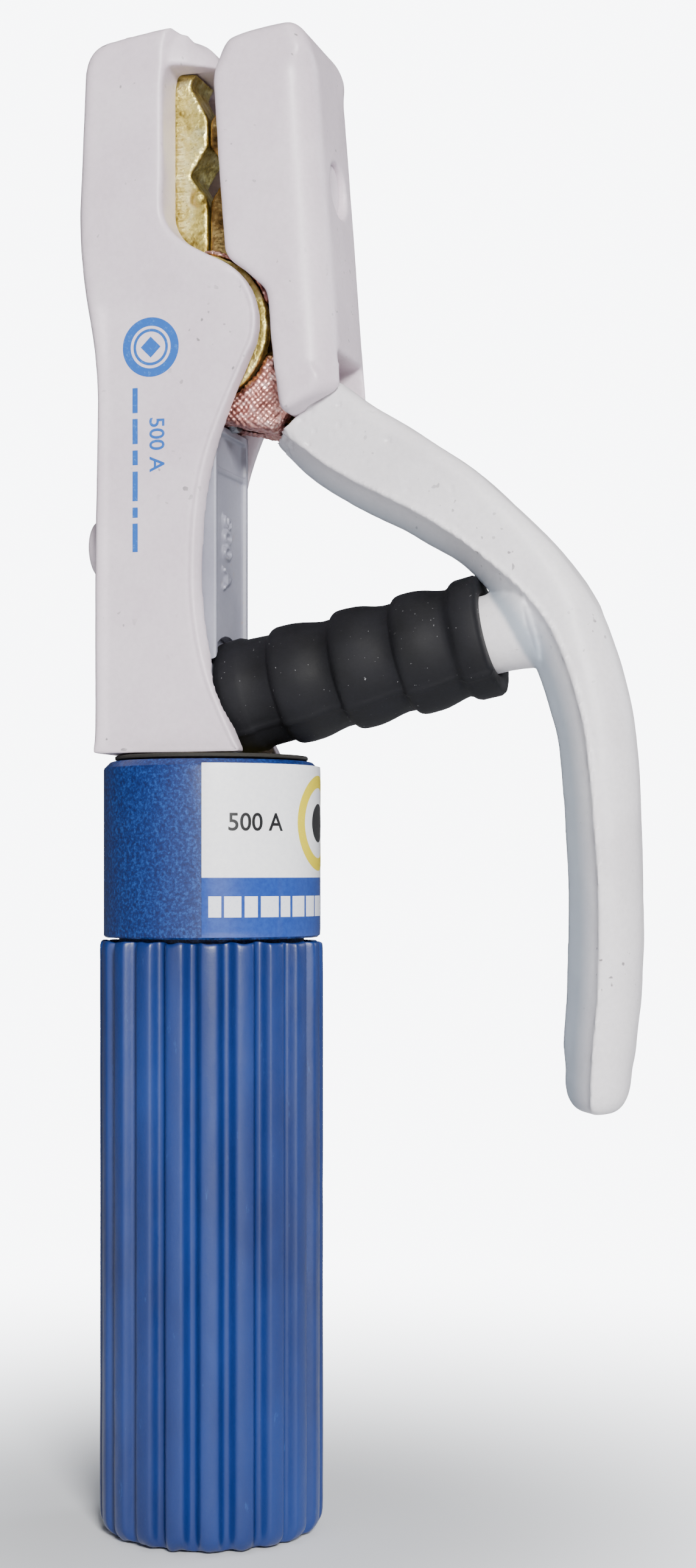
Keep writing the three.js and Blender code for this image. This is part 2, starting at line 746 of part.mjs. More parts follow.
function copperBraid() {
  const outer = earHalf - fitGap;
  const round = earRadius + fitGap;
  const shape = new THREE.Shape();
  const left = shankFront + fitGap;
  const low = panelTop + fitGap;
  shape.moveTo(left, low);
  shape.lineTo(left, -round - 0.2);
  shape.lineTo(0.5, -round - 0.2);
  shape.absarc(0, 0, round, -Math.PI / 2 + 0.04, -0.42, false);
  shape.lineTo(18.4, -3.2);
  shape.lineTo(20.4, -8.4);
  shape.quadraticCurveTo(17.4, -16.4, 13.4, -18.2);
  shape.quadraticCurveTo(9, -17.6, 4.6, low);
  const strap = solid(plate(shape, outer, 0.8, 1));
  const arm = solid(plate(band(armPlaces(), fitGap), armHalf + fitGap));
  const level = braidScrewLevel();
  const bodyHole = bar(braidScrewRadius + boreGap, [-9, 0, level], [4, 0, level], 16);
  const bodyHead = bar(braidScrewHead + boreGap, [3.4, 0, level], [12, 0, level], 16);
  const [x, z] = leverBraidScrewPlace();
  const leverHole = bar(braidScrewRadius + boreGap, [x, -through, z], [x, through, z], 16);
  return geometryOf(strap
    .subtract(arm)
    .subtract(solid(bodyHole))
    .subtract(solid(bodyHead))
    .subtract(solid(leverHole)));
}

function bodyBraidScrew() {
  const level = braidScrewLevel();
  const head = solid(bar(braidScrewHead, [3.7, 0, level], [5.3, 0, level], 16));
  return geometryOf(head.add(solid(bar(braidScrewRadius, [-8, 0, level], [4.2, 0, level], 14))));
}

function leverBraidScrew() {
  const [x, z] = leverBraidScrewPlace();
  const end = earHalf - 0.1;
  return bar(braidScrewRadius, [x, -end, z], [x, end, z], 14);
}

// ---- Assembly ----

function finish(colour, roughness, metalness) {
  return new THREE.MeshStandardMaterial({ color: colour, roughness, metalness });
}

const holder = new THREE.Group();
const head = new THREE.Group();
head.position.z = pivotHeight;
holder.add(head);

function place(group, name, geometry, colour, roughness = 0.5, metalness = 0) {
  const mesh = new THREE.Mesh(closed(geometry), finish(colour, roughness, metalness));
  mesh.name = name;
  group.add(mesh);
}

const insulation = 0xd5cfd4;
const brass = 0xb5a257;
const steel = 0x9a9ca0;
const copper = 0xb8705a;

place(holder, 'handle_tube', handleTube(), 0x2d4f95, 0.55);
place(holder, 'handle_collar', handleCollar(), 0x2d4f95, 0.55);
place(holder, 'grip_sleeve', gripSleeve(), 0x2a4c97, 0.6);
place(holder, 'rating_label', ratingLabel(), 0xf1f2f6, 0.3);
place(holder, 'handle_screw', handleScrew(), steel, 0.35, 1);
place(holder, 'fibre_washer', fibreWasher(), 0x25221f, 0.8);
place(holder, 'cable_shim', cableShim(), copper, 0.4, 1);
cableScrewHeights().forEach((height, i) => {
  place(holder, `cable_screw_${['lower', 'upper'][i]}`, cableScrew(height), steel, 0.4, 1);
});

place(head, 'body_casting', bodyCasting(), brass, 0.45, 1);
place(head, 'fixed_cover', fixedCover(), insulation);
place(head, 'fixed_cover_screw', fixedCoverScrew(), steel, 0.4, 1);
place(head, 'channel_cover', channelCover(), 0xb9b5bb);
place(head, 'pivot_pin', pivotPin(), steel, 0.3, 1);
[['front', -1], ['rear', 1]].forEach(([name, side]) => {
  place(head, `thrust_washer_${name}`, thrustWasherAt(side), brass, 0.4, 1);
  place(head, `retaining_ring_${name}`, retainingRingAt(side), steel, 0.4, 1);
});
place(head, 'spring_seat', springSeat(), steel, 0.4, 1);
place(head, 'return_spring', returnSpring(), steel, 0.35, 1);
place(head, 'spring_boot', springBoot(), 0x232327, 0.7);
place(head, 'copper_braid', copperBraid(), copper, 0.5, 1);
place(head, 'braid_screw_body', bodyBraidScrew(), steel, 0.4, 1);

place(head, 'lever_casting', leverCasting(), brass, 0.45, 1);
place(head, 'upper_jaw_cover', upperJawCover(), insulation);
place(head, 'lever_sleeve', leverSleeve(), insulation);
place(head, 'upper_cover_screw', upperCoverScrew(), steel, 0.4, 1);
place(head, 'braid_screw_lever', leverBraidScrew(), steel, 0.4, 1);
place(head, 'spring_plate', springPlate(), steel, 0.4, 1);

export default holder;
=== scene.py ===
# Welding electrode holder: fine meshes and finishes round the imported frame. Metres, +Z towards the jaws.
import bpy
import json
import math
from mathutils import Matrix, Vector
from mathutils.noise import noise


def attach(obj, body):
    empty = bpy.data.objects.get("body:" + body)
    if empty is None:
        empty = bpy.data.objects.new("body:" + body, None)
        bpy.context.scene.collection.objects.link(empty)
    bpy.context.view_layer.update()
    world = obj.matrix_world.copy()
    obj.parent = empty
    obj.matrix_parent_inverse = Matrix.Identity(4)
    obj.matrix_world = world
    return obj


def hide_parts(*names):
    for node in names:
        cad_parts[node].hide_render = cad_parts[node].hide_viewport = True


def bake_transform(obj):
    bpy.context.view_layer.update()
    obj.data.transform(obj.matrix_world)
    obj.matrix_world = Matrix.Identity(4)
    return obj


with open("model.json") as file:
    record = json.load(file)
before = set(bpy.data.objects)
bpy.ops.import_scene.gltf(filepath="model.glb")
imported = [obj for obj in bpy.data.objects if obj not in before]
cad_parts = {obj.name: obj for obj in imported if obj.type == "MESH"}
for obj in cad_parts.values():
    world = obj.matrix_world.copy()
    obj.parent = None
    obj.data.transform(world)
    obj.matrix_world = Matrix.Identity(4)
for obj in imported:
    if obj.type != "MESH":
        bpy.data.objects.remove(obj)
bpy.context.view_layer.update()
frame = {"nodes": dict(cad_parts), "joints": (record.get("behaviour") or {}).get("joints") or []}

mm = 0.001
bodyName = "holder_body"
leverName = "lever"
hinge = frame["joints"][0]
pivotZ = hinge["pos_m"][2] / mm  # height of the hinge pin, mm
print("frame loaded, hinge at", round(pivotZ, 2), "mm")


def clearSelection():
    if bpy.context.object and bpy.context.object.mode != "OBJECT":
        bpy.ops.object.mode_set(mode="OBJECT")
    bpy.ops.object.select_all(action="DESELECT")


def takeNew(name):
    piece = bpy.context.object
    piece.name = name
    piece.data.name = name
    return piece


def activate(piece):
    clearSelection()
    piece.select_set(True)
    bpy.context.view_layer.objects.active = piece


def bakePlace(piece):
    activate(piece)
    bpy.ops.object.transform_apply(location=True, rotation=True, scale=True)


def applyModifier(piece, kind, **settings):
    activate(piece)
    modifier = piece.modifiers.new(kind.lower(), kind)
    for key, value in settings.items():
        setattr(modifier, key, value)
    bpy.ops.object.modifier_apply(modifier=modifier.name)


def linkToScene(thing):
    bpy.context.scene.collection.objects.link(thing)


def joined(piece, others):
    clearSelection()
    for part in [*others, piece]:
        part.select_set(True)
    bpy.context.view_layer.objects.active = piece
    bpy.ops.object.join()
    return bpy.context.object


def subdivided(piece, cuts):
    activate(piece)
    bpy.ops.object.mode_set(mode="EDIT")
    bpy.ops.mesh.select_all(action="SELECT")
    bpy.ops.mesh.subdivide(number_cuts=cuts)
    bpy.ops.object.mode_set(mode="OBJECT")
    return piece


def cutAway(piece, cutters, operation="DIFFERENCE"):
    for cutter in cutters:
        applyModifier(piece, "BOOLEAN", object=cutter, operation=operation, solver="EXACT")
        bpy.data.objects.remove(cutter, do_unlink=True)


def tidyFaces(piece, angle=32, outward=True):
    activate(piece)
    bpy.ops.object.mode_set(mode="EDIT")
    bpy.ops.mesh.select_all(action="SELECT")
    bpy.ops.mesh.remove_doubles(threshold=0.004 * mm)
    if outward:
        bpy.ops.mesh.normals_make_consistent(inside=False)
    bpy.ops.object.mode_set(mode="OBJECT")
    bpy.ops.object.shade_smooth_by_angle(angle=math.radians(angle))


def boxPiece(name, low, high):
    middle = [(a + b) / 2 * mm for a, b in zip(low, high)]
    size = [(b - a) * mm for a, b in zip(low, high)]
    clearSelection()
    bpy.ops.mesh.primitive_cube_add(size=1, location=middle, scale=size)
    piece = takeNew(name)
    bakePlace(piece)
    return piece


def rodPiece(name, radius, start, end, sides=48):
    a = Vector(start) * mm
    b = Vector(end) * mm
    turn = (b - a).to_track_quat("Z", "Y").to_euler()
    clearSelection()
    bpy.ops.mesh.primitive_cylinder_add(
        vertices=sides, radius=radius * mm, depth=(b - a).length, location=(a + b) / 2, rotation=turn)
    piece = takeNew(name)
    bakePlace(piece)
    return piece


# A closed loop of points is drawn from a circle, then extruded ring by ring through the other loops.
def loftPiece(name, rings, capEnds=True, closeUp=False):
    count = len(rings[0])
    clearSelection()
    bpy.ops.mesh.primitive_circle_add(vertices=count, radius=mm, fill_type="NOTHING")
    piece = takeNew(name)
    mesh = piece.data
    for i, point in enumerate(rings[0]):
        mesh.vertices[i].co = Vector(point) * mm
    for ring in rings[1:]:
        bpy.ops.object.mode_set(mode="EDIT")
        if ring is rings[1]:
            bpy.ops.mesh.select_all(action="SELECT")
        bpy.ops.mesh.extrude_region_move()
        bpy.ops.object.mode_set(mode="OBJECT")
        first = len(mesh.vertices) - count
        for i, point in enumerate(ring):
            mesh.vertices[first + i].co = Vector(point) * mm
    if capEnds:
        for start in (0, len(mesh.vertices) - count):
            selectVertices(piece, range(start, start + count))
            bpy.ops.object.mode_set(mode="EDIT")
            bpy.ops.mesh.edge_face_add()
            bpy.ops.object.mode_set(mode="OBJECT")
    if closeUp:
        ends = list(range(count)) + list(range(len(mesh.vertices) - count, len(mesh.vertices)))
        selectVertices(piece, ends)
        bpy.ops.object.mode_set(mode="EDIT")
        bpy.ops.mesh.bridge_edge_loops()
        bpy.ops.object.mode_set(mode="OBJECT")
    return piece


def selectVertices(piece, wanted):
    activate(piece)
    bpy.ops.object.mode_set(mode="EDIT")
    bpy.ops.mesh.select_mode(type="VERT")
    bpy.ops.mesh.select_all(action="DESELECT")
    bpy.ops.object.mode_set(mode="OBJECT")
    for i in wanted:
        piece.data.vertices[i].select = True


# A profile of (radius, height) pairs spun round the Z axis, then closed on itself.
def turnedPiece(name, profile, sides=96):
    clearSelection()
    bpy.ops.mesh.primitive_circle_add(vertices=len(profile), radius=mm, fill_type="NOTHING")
    piece = takeNew(name)
    for vertex, (radius, height) in zip(piece.data.vertices, profile):
        vertex.co = (radius * mm, 0, height * mm)
    bpy.ops.object.mode_set(mode="EDIT")
    bpy.ops.mesh.select_all(action="SELECT")
    bpy.ops.mesh.spin(steps=sides, angle=2 * math.pi, center=(0, 0, 0), axis=(0, 0, 1), dupli=False)
    bpy.ops.mesh.select_all(action="SELECT")
    bpy.ops.mesh.remove_doubles(threshold=0.004 * mm)
    bpy.ops.mesh.normals_make_consistent(inside=False)
    bpy.ops.object.mode_set(mode="OBJECT")
    return piece


def bezier(a, b, c, d, steps):
    points = []
    for i in range(1, steps + 1):
        t = i / steps
        s = 1 - t
        points.append(tuple(
            s ** 3 * p + 3 * s * s * t * q + 3 * s * t * t * r + t ** 3 * w for p, q, r, w in zip(a, b, c, d)))
    return points


# Spaces points evenly round a closed outline.
def evenly(points, spacing):
    loop = [Vector(p) for p in points + points[:1]]
    length = sum((b - a).length for a, b in zip(loop, loop[1:]))
    count = max(8, round(length / spacing))
    step = length / count
    out = []
    walked = 0.0
    target = 0.0
    for a, b in zip(loop, loop[1:]):
        part = (b - a).length
        while target <= walked + part + 1e-9 and len(out) < count:
            out.append(a.lerp(b, (target - walked) / part) if part else a.copy())
            target += step
        walked += part
    return out


def outwardNormals(points):
    normals = []
    area = sum(a.x * b.y - b.x * a.y for a, b in zip(points, points[1:] + points[:1]))
    side = 1 if area > 0 else -1
    for i, point in enumerate(points):
        ahead = (points[(i + 1) % len(points)] - points[i - 1]).normalized()
        normals.append(Vector((ahead.y, -ahead.x)) * side)
    return normals


# Averages each rim with its neighbours, so that one kind of edge runs out into the next.
def smoothedRims(rims, passes=6):
    for _ in range(passes):
        rims = [
            tuple((a + 2 * b + c) / 4 for a, b, c in zip(rims[i - 1], rims[i], rims[(i + 1) % len(rims)]))
            for i in range(len(rims))]
    return rims


# A plate in the X-Z plane whose rim is rounded by its own amount at each point:
# rim(point) gives (how far in along Y the round starts, how far it draws the outline in).
def roundedPlate(name, points, half, rim, levels=7):
    normals = outwardNormals(points)
    rims = smoothedRims([rim(p) for p in points])
    deepest = max(r[0] for r in rims)
    depths = [half - deepest * (1 - math.sin(math.pi / 2 * i / levels)) for i in range(levels + 1)]
    heights = [-d for d in reversed(depths)] + depths
    rings = []
    for y in heights:
        ring = []
        for point, normal, (reach, inset) in zip(points, normals, rims):
            into = max(0.0, (abs(y) - (half - reach)) / reach)
            drawn = point - normal * inset * (1 - math.sqrt(max(0.0, 1 - into * into)))
            ring.append((drawn.x, y, drawn.y))
        rings.append(ring)
    return loftPiece(name, rings)


def headPlace(x, z):
    return Vector((x, z + pivotZ))


def finishPiece(piece, name, body, material, replaced=()):
    piece.name = name
    piece.data.name = name
    piece.data.materials.clear()
    piece.data.materials.append(material)
    if body:
        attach(piece, body)
    if replaced:
        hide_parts(*replaced)
    return piece


def linear(hexColour):
    channels = [int(hexColour[i:i + 2], 16) / 255 for i in (1, 3, 5)]
    return tuple(c / 12.92 if c <= 0.04045 else ((c + 0.055) / 1.055) ** 2.4 for c in channels) + (1.0,)


def addNode(tree, kind, links=None, **settings):
    node = tree.nodes.new(kind)
    for key, value in settings.items():
        if key.startswith("in_"):
            node.inputs[int(key[3:])].default_value = value
        elif key == "ramp":
            ramp = node.color_ramp
            while len(ramp.elements) < len(value):
                ramp.elements.new(0.5)
            for element, (spot, colour) in zip(ramp.elements, value):
                element.position = spot
                element.color = colour
        else:
            setattr(node, key, value)
    for socket, source in (links or {}).items():
        tree.links.new(source, node.inputs[socket])
    return node


def newMaterial(name):
    material = bpy.data.materials.new(name)
    material.use_nodes = True
    tree = material.node_tree
    shader = tree.nodes["Principled BSDF"]
    coordinates = addNode(tree, "ShaderNodeTexCoord").outputs["Object"]
    return material, tree, shader, coordinates


def grey(level):
    return (level, level, level, 1.0)


def noiseAt(tree, coordinates, size, detail=3.0, roughness=0.5, stretch=None):
    source = coordinates
    if stretch:
        source = addNode(tree, "ShaderNodeMapping", {0: coordinates}, in_3=stretch).outputs[0]
    node = addNode(
        tree, "ShaderNodeTexNoise", {"Vector": source}, in_2=1 / (size * mm), in_3=detail, in_4=roughness)
    return node.outputs[0]


def rampOf(tree, value, *stops):
    return addNode(tree, "ShaderNodeValToRGB", {0: value}, ramp=stops).outputs[0]


def mixColours(tree, factor, first, second, blend="MIX"):
    node = addNode(tree, "ShaderNodeMix", data_type="RGBA", blend_type=blend)
    for socket, value in ((0, factor), (6, first), (7, second)):
        if isinstance(value, (int, float, tuple)):
            node.inputs[socket].default_value = value
        else:
            tree.links.new(value, node.inputs[socket])
    return node.outputs[2]


def bumpFrom(tree, height, depth, strength=1.0, before=None):
    links = {"Height": height}
    if before:
        links["Normal"] = before
    return addNode(tree, "ShaderNodeBump", links, in_0=strength, in_1=depth * mm).outputs[0]


# Roughness follows a texture: `start` where it is at or below `low`, `end` at or above `high`.
def roughFrom(tree, shader, value, low, high, start, end):
    rough = addNode(tree, "ShaderNodeMapRange", {0: value}, in_1=low, in_2=high, in_3=start, in_4=end)
    tree.links.new(rough.outputs[0], shader.inputs["Roughness"])


# Moulded thermoset, such as bulk moulding compound: a satin lilac grey with faint flow marks,
# fine grit and a few dark specks where dirt has been pressed in.
def mouldedThermoset(name, light, shade, handled=False):
    speckLevel = 0.28
    gloss = 0.42
    material, tree, shader, place = newMaterial(name)
    flow = noiseAt(tree, place, 26, 4, 0.55)
    mottle = rampOf(tree, flow, (0.35, linear(shade)), (0.62, linear(light)))
    fine = noiseAt(tree, place, 0.9, 2, 0.6)
    grain = rampOf(tree, fine, (0.3, grey(0.93)), (0.7, grey(1.0)))
    base = mixColours(tree, 1.0, mottle, grain, "MULTIPLY")
    speck = noiseAt(tree, place, 1.3, 1, 0.4)
    patch = noiseAt(tree, place, 17, 2, 0.5)
    specks = rampOf(tree, speck, (speckLevel - 0.04, grey(0.0)), (speckLevel, grey(1.0)))
    patches = rampOf(tree, patch, (0.50, grey(1.0)), (0.62, grey(0.0)))
    dirty = addNode(
        tree, "ShaderNodeMath", {0: specks, 1: patches}, operation="MAXIMUM").outputs[0]
    base = mixColours(tree, dirty, linear("#8d868a"), base)
    if handled:  # painted shade: the lever's inner slope is darkened to a dull blue-grey
        wearAndShade = addNode(tree, "ShaderNodeAttribute", attribute_name="handled").outputs["Fac"]
        base = mixColours(tree, wearAndShade, base, linear("#98a0ab"))
    tree.links.new(base, shader.inputs["Base Color"])
    roughFrom(tree, shader, flow, 0.3, 0.7, gloss - 0.06, gloss + 0.10)
    relief = bumpFrom(tree, fine, 0.035, 0.5)
    relief = bumpFrom(tree, noiseAt(tree, place, 7, 2, 0.5), 0.20, 0.35, relief)
    tree.links.new(relief, shader.inputs["Normal"])
    shader.inputs["IOR"].default_value = 1.5
    shader.inputs["Subsurface Weight"].default_value = 0.06
    shader.inputs["Subsurface Radius"].default_value = (0.004, 0.003, 0.003)
    return material


# Sand-cast brass, tumbled: yellow-green with darker pits, in blotches that run from dull and dark to bright and
# pale.
def castBrass(name, hollow, middle, raised):
    material, tree, shader, place = newMaterial(name)
    blotch = noiseAt(tree, place, 3.2, 4, 0.65)
    colour = rampOf(
        tree, blotch, (0.30, linear(hollow)), (0.48, linear(middle)), (0.66, linear(raised)))
    pits = addNode(tree, "ShaderNodeTexVoronoi", {"Vector": place}, in_2=1 / (0.8 * mm)).outputs["Distance"]
    dark = rampOf(tree, pits, (0.06, grey(0.35)), (0.20, grey(1.0)))
    colour = mixColours(tree, dark, linear("#6a5d30"), colour)
    tree.links.new(colour, shader.inputs["Base Color"])
    shader.inputs["Metallic"].default_value = 1.0
    roughFrom(tree, shader, blotch, 0.3, 0.7, 0.50, 0.28)
    relief = bumpFrom(tree, noiseAt(tree, place, 0.45, 3, 0.6), 0.10, 0.7)
    relief = bumpFrom(tree, pits, 0.12, 0.6, relief)
    tree.links.new(relief, shader.inputs["Normal"])
    return material


# Zinc-plated steel: pale grey, finely brushed, for pins, washers and screws.
def platedSteel(name):
    material, tree, shader, place = newMaterial(name)
    streak = noiseAt(tree, place, 0.5, 3, 0.6, stretch=(1.0, 1.0, 0.12))
    colour = rampOf(tree, streak, (0.3, linear("#74767a")), (0.7, linear("#9b9da1")))
    tree.links.new(colour, shader.inputs["Base Color"])
    shader.inputs["Metallic"].default_value = 1.0
    roughFrom(tree, shader, streak, 0.3, 0.7, 0.24, 0.42)
    tree.links.new(bumpFrom(tree, streak, 0.02, 0.4), shader.inputs["Normal"])
    return material


# Bare copper wire, woven: pink-red strands, tarnished darker in patches.
def bareCopper(name):
    material, tree, shader, place = newMaterial(name)
    tarnish = noiseAt(tree, place, 1.4, 3, 0.6)
    colour = rampOf(
        tree, tarnish, (0.28, linear("#855048")), (0.50, linear("#c79086")), (0.72, linear("#f2cfc8")))
    tree.links.new(colour, shader.inputs["Base Color"])
    shader.inputs["Metallic"].default_value = 1.0
    shader.inputs["Roughness"].default_value = 0.38
    strand = noiseAt(tree, place, 0.35, 2, 0.6, stretch=(1.0, 1.0, 0.35))
    tree.links.new(bumpFrom(tree, strand, 0.10, 0.6), shader.inputs["Normal"])
    return material


# Moulded nitrile rubber: near black and matte, with pale dust caught on it.
def mouldedRubber(name):
    material, tree, shader, place = newMaterial(name)
    cloud = noiseAt(tree, place, 9, 3, 0.5)
    base = rampOf(tree, cloud, (0.3, linear("#0b0b0e")), (0.7, linear("#15151a")))
    dust = noiseAt(tree, place, 0.55, 2, 0.5)
    caught = rampOf(tree, dust, (0.73, grey(0.0)), (0.78, grey(0.55)))
    base = mixColours(tree, caught, base, linear("#9a9a9c"))
    tree.links.new(base, shader.inputs["Base Color"])
    roughFrom(tree, shader, cloud, 0.3, 0.7, 0.58, 0.74)
    tree.links.new(bumpFrom(tree, noiseAt(tree, place, 0.6, 3, 0.6), 0.05, 0.5), shader.inputs["Normal"])
    shader.inputs["IOR"].default_value = 1.52
    shader.inputs["Specular IOR Level"].default_value = 0.22
    return material


# Fibre-filled phenolic tube, painted: mid blue, finely speckled lighter and darker.
def speckledTube(name):
    material, tree, shader, place = newMaterial(name)
    speck = noiseAt(tree, place, 0.55, 3, 0.75)
    colour = rampOf(
        tree, speck, (0.36, linear("#06174a")), (0.50, linear("#0b2663")), (0.66, linear("#1b478e")))
    tree.links.new(colour, shader.inputs["Base Color"])
    shader.inputs["Roughness"].default_value = 0.46
    relief = bumpFrom(tree, speck, 0.05, 0.6)
    tree.links.new(relief, shader.inputs["Normal"])
    shader.inputs["IOR"].default_value = 1.5
    return material


# Moulded nylon for the ribbed sleeve: a clearer blue with a satin skin and lighter scuffs.
def mouldedNylon(name):
    material, tree, shader, place = newMaterial(name)
    broad = noiseAt(tree, place, 14, 3, 0.6, stretch=(1.0, 1.0, 0.35))
    base = rampOf(tree, broad, (0.3, linear("#071f55")), (0.7, linear("#0e3072")))
    scuff = noiseAt(tree, place, 1.6, 4, 0.7, stretch=(1.0, 1.0, 0.25))
    scuffed = rampOf(tree, scuff, (0.66, grey(0.0)), (0.80, grey(0.35)))
    base = mixColours(tree, scuffed, base, linear("#3f72bd"))
    tree.links.new(base, shader.inputs["Base Color"])
    roughFrom(tree, shader, scuff, 0.3, 0.8, 0.34, 0.52)
    tree.links.new(bumpFrom(tree, noiseAt(tree, place, 0.5, 3, 0.6), 0.04, 0.5), shader.inputs["Normal"])
    shader.inputs["IOR"].default_value = 1.53
    return material


# Printing ink or dyed card: a thin coat that breaks up slightly at its finest scale.
def printedInk(name, colour, wearAndShade, coat=0.0, roughness=0.4):
    material, tree, shader, place = newMaterial(name)
    wear = noiseAt(tree, place, 0.5, 3, 0.7)
    mix = rampOf(tree, wear, (0.30, linear(wearAndShade)), (0.44, linear(colour)))
    tree.links.new(mix, shader.inputs["Base Color"])
    shader.inputs["Roughness"].default_value = roughness
    shader.inputs["Coat Weight"].default_value = coat
    shader.inputs["Coat Roughness"].default_value = 0.12
    return material


# Laminated paper label: white above and a blue band below, under a glossy film.
def laminatedPaper(name, bandTop):
    material, tree, shader, place = newMaterial(name)
    height = addNode(tree, "ShaderNodeSeparateXYZ", {0: place}).outputs[2]
    above = addNode(
        tree, "ShaderNodeMath", {0: height}, operation="GREATER_THAN", in_1=bandTop * mm).outputs[0]
    fibre = noiseAt(tree, place, 0.8, 3, 0.6)
    white = rampOf(tree, fibre, (0.3, linear("#f2f2f6")), (0.7, linear("#fbfbfd")))
    blue = rampOf(tree, fibre, (0.3, linear("#173a8a")), (0.7, linear("#24499a")))
    tree.links.new(mixColours(tree, above, blue, white), shader.inputs["Base Color"])
    shader.inputs["Roughness"].default_value = 0.32
    shader.inputs["Coat Weight"].default_value = 0.6
    shader.inputs["Coat Roughness"].default_value = 0.08
    tree.links.new(bumpFrom(tree, noiseAt(tree, place, 11, 2, 0.5), 0.12, 0.4), shader.inputs["Normal"])
    return material


coverGrey = mouldedThermoset("moulded thermoset", "#ddd0d9", "#d0c2cc")
# The lever's grey gets painted shade on its inner slope.
leverGrey = mouldedThermoset("moulded thermoset, lever", "#eae6e9", "#ddd8dc", handled=True)
# Same thermoset as the covers in a darker grey: painted shade for the inside of the channel.
panelGreyInPaintedShade = mouldedThermoset("moulded thermoset, panel in painted shade", "#9696a3", "#868694")
brass = castBrass("cast brass", "#7e6a2e", "#cfbf6c", "#f3eaa8")
# Brown brass darkened further: partly the metal's own brown, partly painted shade on the moving jaw.
brownBrassInPaintedShade = castBrass("cast brass, brown, painted shade", "#3b2a18", "#7d6136", "#b59a62")
steel = platedSteel("zinc plated steel")
copper = bareCopper("bare copper wire")
rubber = mouldedRubber("moulded rubber")
tubeBlue = speckledTube("speckled phenolic tube")
nylonBlue = mouldedNylon("moulded nylon")
fibreBlack = printedInk("vulcanised fibre", "#26241f", "#1b1916", roughness=0.8)
inkBlue = printedInk("blue pad print", "#1a58aa", "#3f78bd")
inkBlack = printedInk("black print", "#0b0a0d", "#1d1b20", coat=0.6)
inkYellow = printedInk("yellow print", "#e0cb00", "#e6d62a", coat=0.6)
inkWhite = printedInk("white print", "#e6e8f2", "#cfd6ea", coat=0.6)
print("materials made")


# Camera a little to the right of the front, level, with its lens raised to keep the uprights parallel.
camera = {
    "place": (0.14435, -0.41635, 0.11707),
    "turn": 16,
    "lens": 56.57,
    "rise": 0.055,
    "aside": 0.0012,
    "sensor": 36,
}

cameraData = bpy.data.cameras.new("camera")
cameraData.lens = camera["lens"]
cameraData.sensor_fit = "VERTICAL"
cameraData.sensor_height = camera["sensor"]
cameraData.sensor_width = camera["sensor"]
cameraData.shift_x = camera["aside"]
cameraData.shift_y = camera["rise"]
cameraObject = bpy.data.objects.new("camera", cameraData)
cameraObject.location = camera["place"]
cameraObject.rotation_euler = (math.radians(90), 0, math.radians(camera["turn"]))
linkToScene(cameraObject)
bpy.context.scene.camera = cameraObject

studio = {
    "floorColour": "#eceef1",
    "fill": 0.13,
    "whiteness": 9.0,  # how bright the empty background looks
    "floorReach": 3.0,
    "floorDrop": 0.0002,
    "fade": (0.03, 0.30),  # where the floor starts and ends its fade
    "aim": (0.02, 0, 0.14),
}
lamps = [  # name, place, size, watts, colour
    ("key", (0.47, -0.91, 0.52), 0.24, 21.5, "#fffefc"),
    ("front", (-0.35, -1.0, 0.25), 0.50, 1.1, "#f8faff"),
    ("top", (0.05, -0.05, 0.95), 0.50, 2.2, "#ffffff"),
    ("rim", (0.75, 0.55, 0.45), 0.40, 3.0, "#f4f7ff"),
]

world = bpy.data.worlds.new("studio")
world.use_nodes = True
tree = world.node_tree
background = tree.nodes["Background"]
background.inputs["Color"].default_value = linear("#f2f4f8")
seen = addNode(tree, "ShaderNodeLightPath").outputs["Is Camera Ray"]
strength = addNode(tree, "ShaderNodeMapRange", {0: seen}, in_3=studio["fill"], in_4=studio["whiteness"])
tree.links.new(strength.outputs[0], background.inputs["Strength"])
bpy.context.scene.world = world

# The floor fades into the white background, so that no horizon shows.
floorPaint, tree, shader, place = newMaterial("matt studio floor paint")
tone = noiseAt(tree, place, 400, 2, 0.5)
paint = rampOf(tree, tone, (0.3, linear("#e6e8ec")), (0.7, linear(studio["floorColour"])))
tree.links.new(paint, shader.inputs["Base Color"])
shader.inputs["Roughness"].default_value = 0.9
far = addNode(tree, "ShaderNodeVectorMath", {0: place}, operation="LENGTH").outputs["Value"]
fade = addNode(
    tree, "ShaderNodeMapRange", {0: far}, interpolation_type="SMOOTHSTEP",
    in_1=studio["fade"][0], in_2=studio["fade"][1]).outputs[0]
seen = addNode(tree, "ShaderNodeLightPath").outputs["Is Camera Ray"]
share = addNode(tree, "ShaderNodeMath", {0: fade, 1: seen}, operation="MULTIPLY").outputs[0]
glow = addNode(tree, "ShaderNodeEmission", in_0=linear("#f2f4f8"), in_1=studio["whiteness"]).outputs[0]
mixed = addNode(tree, "ShaderNodeMixShader", {0: share, 1: shader.outputs[0], 2: glow}).outputs[0]
tree.links.new(mixed, tree.nodes["Material Output"].inputs[0])

clearSelection()
bpy.ops.mesh.primitive_plane_add(size=2 * studio["floorReach"], location=(0, 0, -studio["floorDrop"]))
floor = takeNew("studio_floor")
bakePlace(floor)
floor.data.materials.append(floorPaint)

for name, spot, size, watts, tint in lamps:
    lampData = bpy.data.lights.new(name, "AREA")
    lampData.shape = "DISK"
    lampData.size = size
    lampData.energy = watts
    lampData.color = linear(tint)[:3]
    lamp = bpy.data.objects.new(name, lampData)
    lamp.location = spot
    toPart = Vector(studio["aim"]) - Vector(spot)
    lamp.rotation_euler = toPart.to_track_quat("-Z", "Y").to_euler()
    linkToScene(lamp)
print("camera and lamps placed")


# A prism with its outline in the X-Z plane, for cutting.
def prismPiece(name, outline, low, high):
    return loftPiece(name, [[(x, y, z + pivotZ) for x, z in outline] for y in (low, high)])


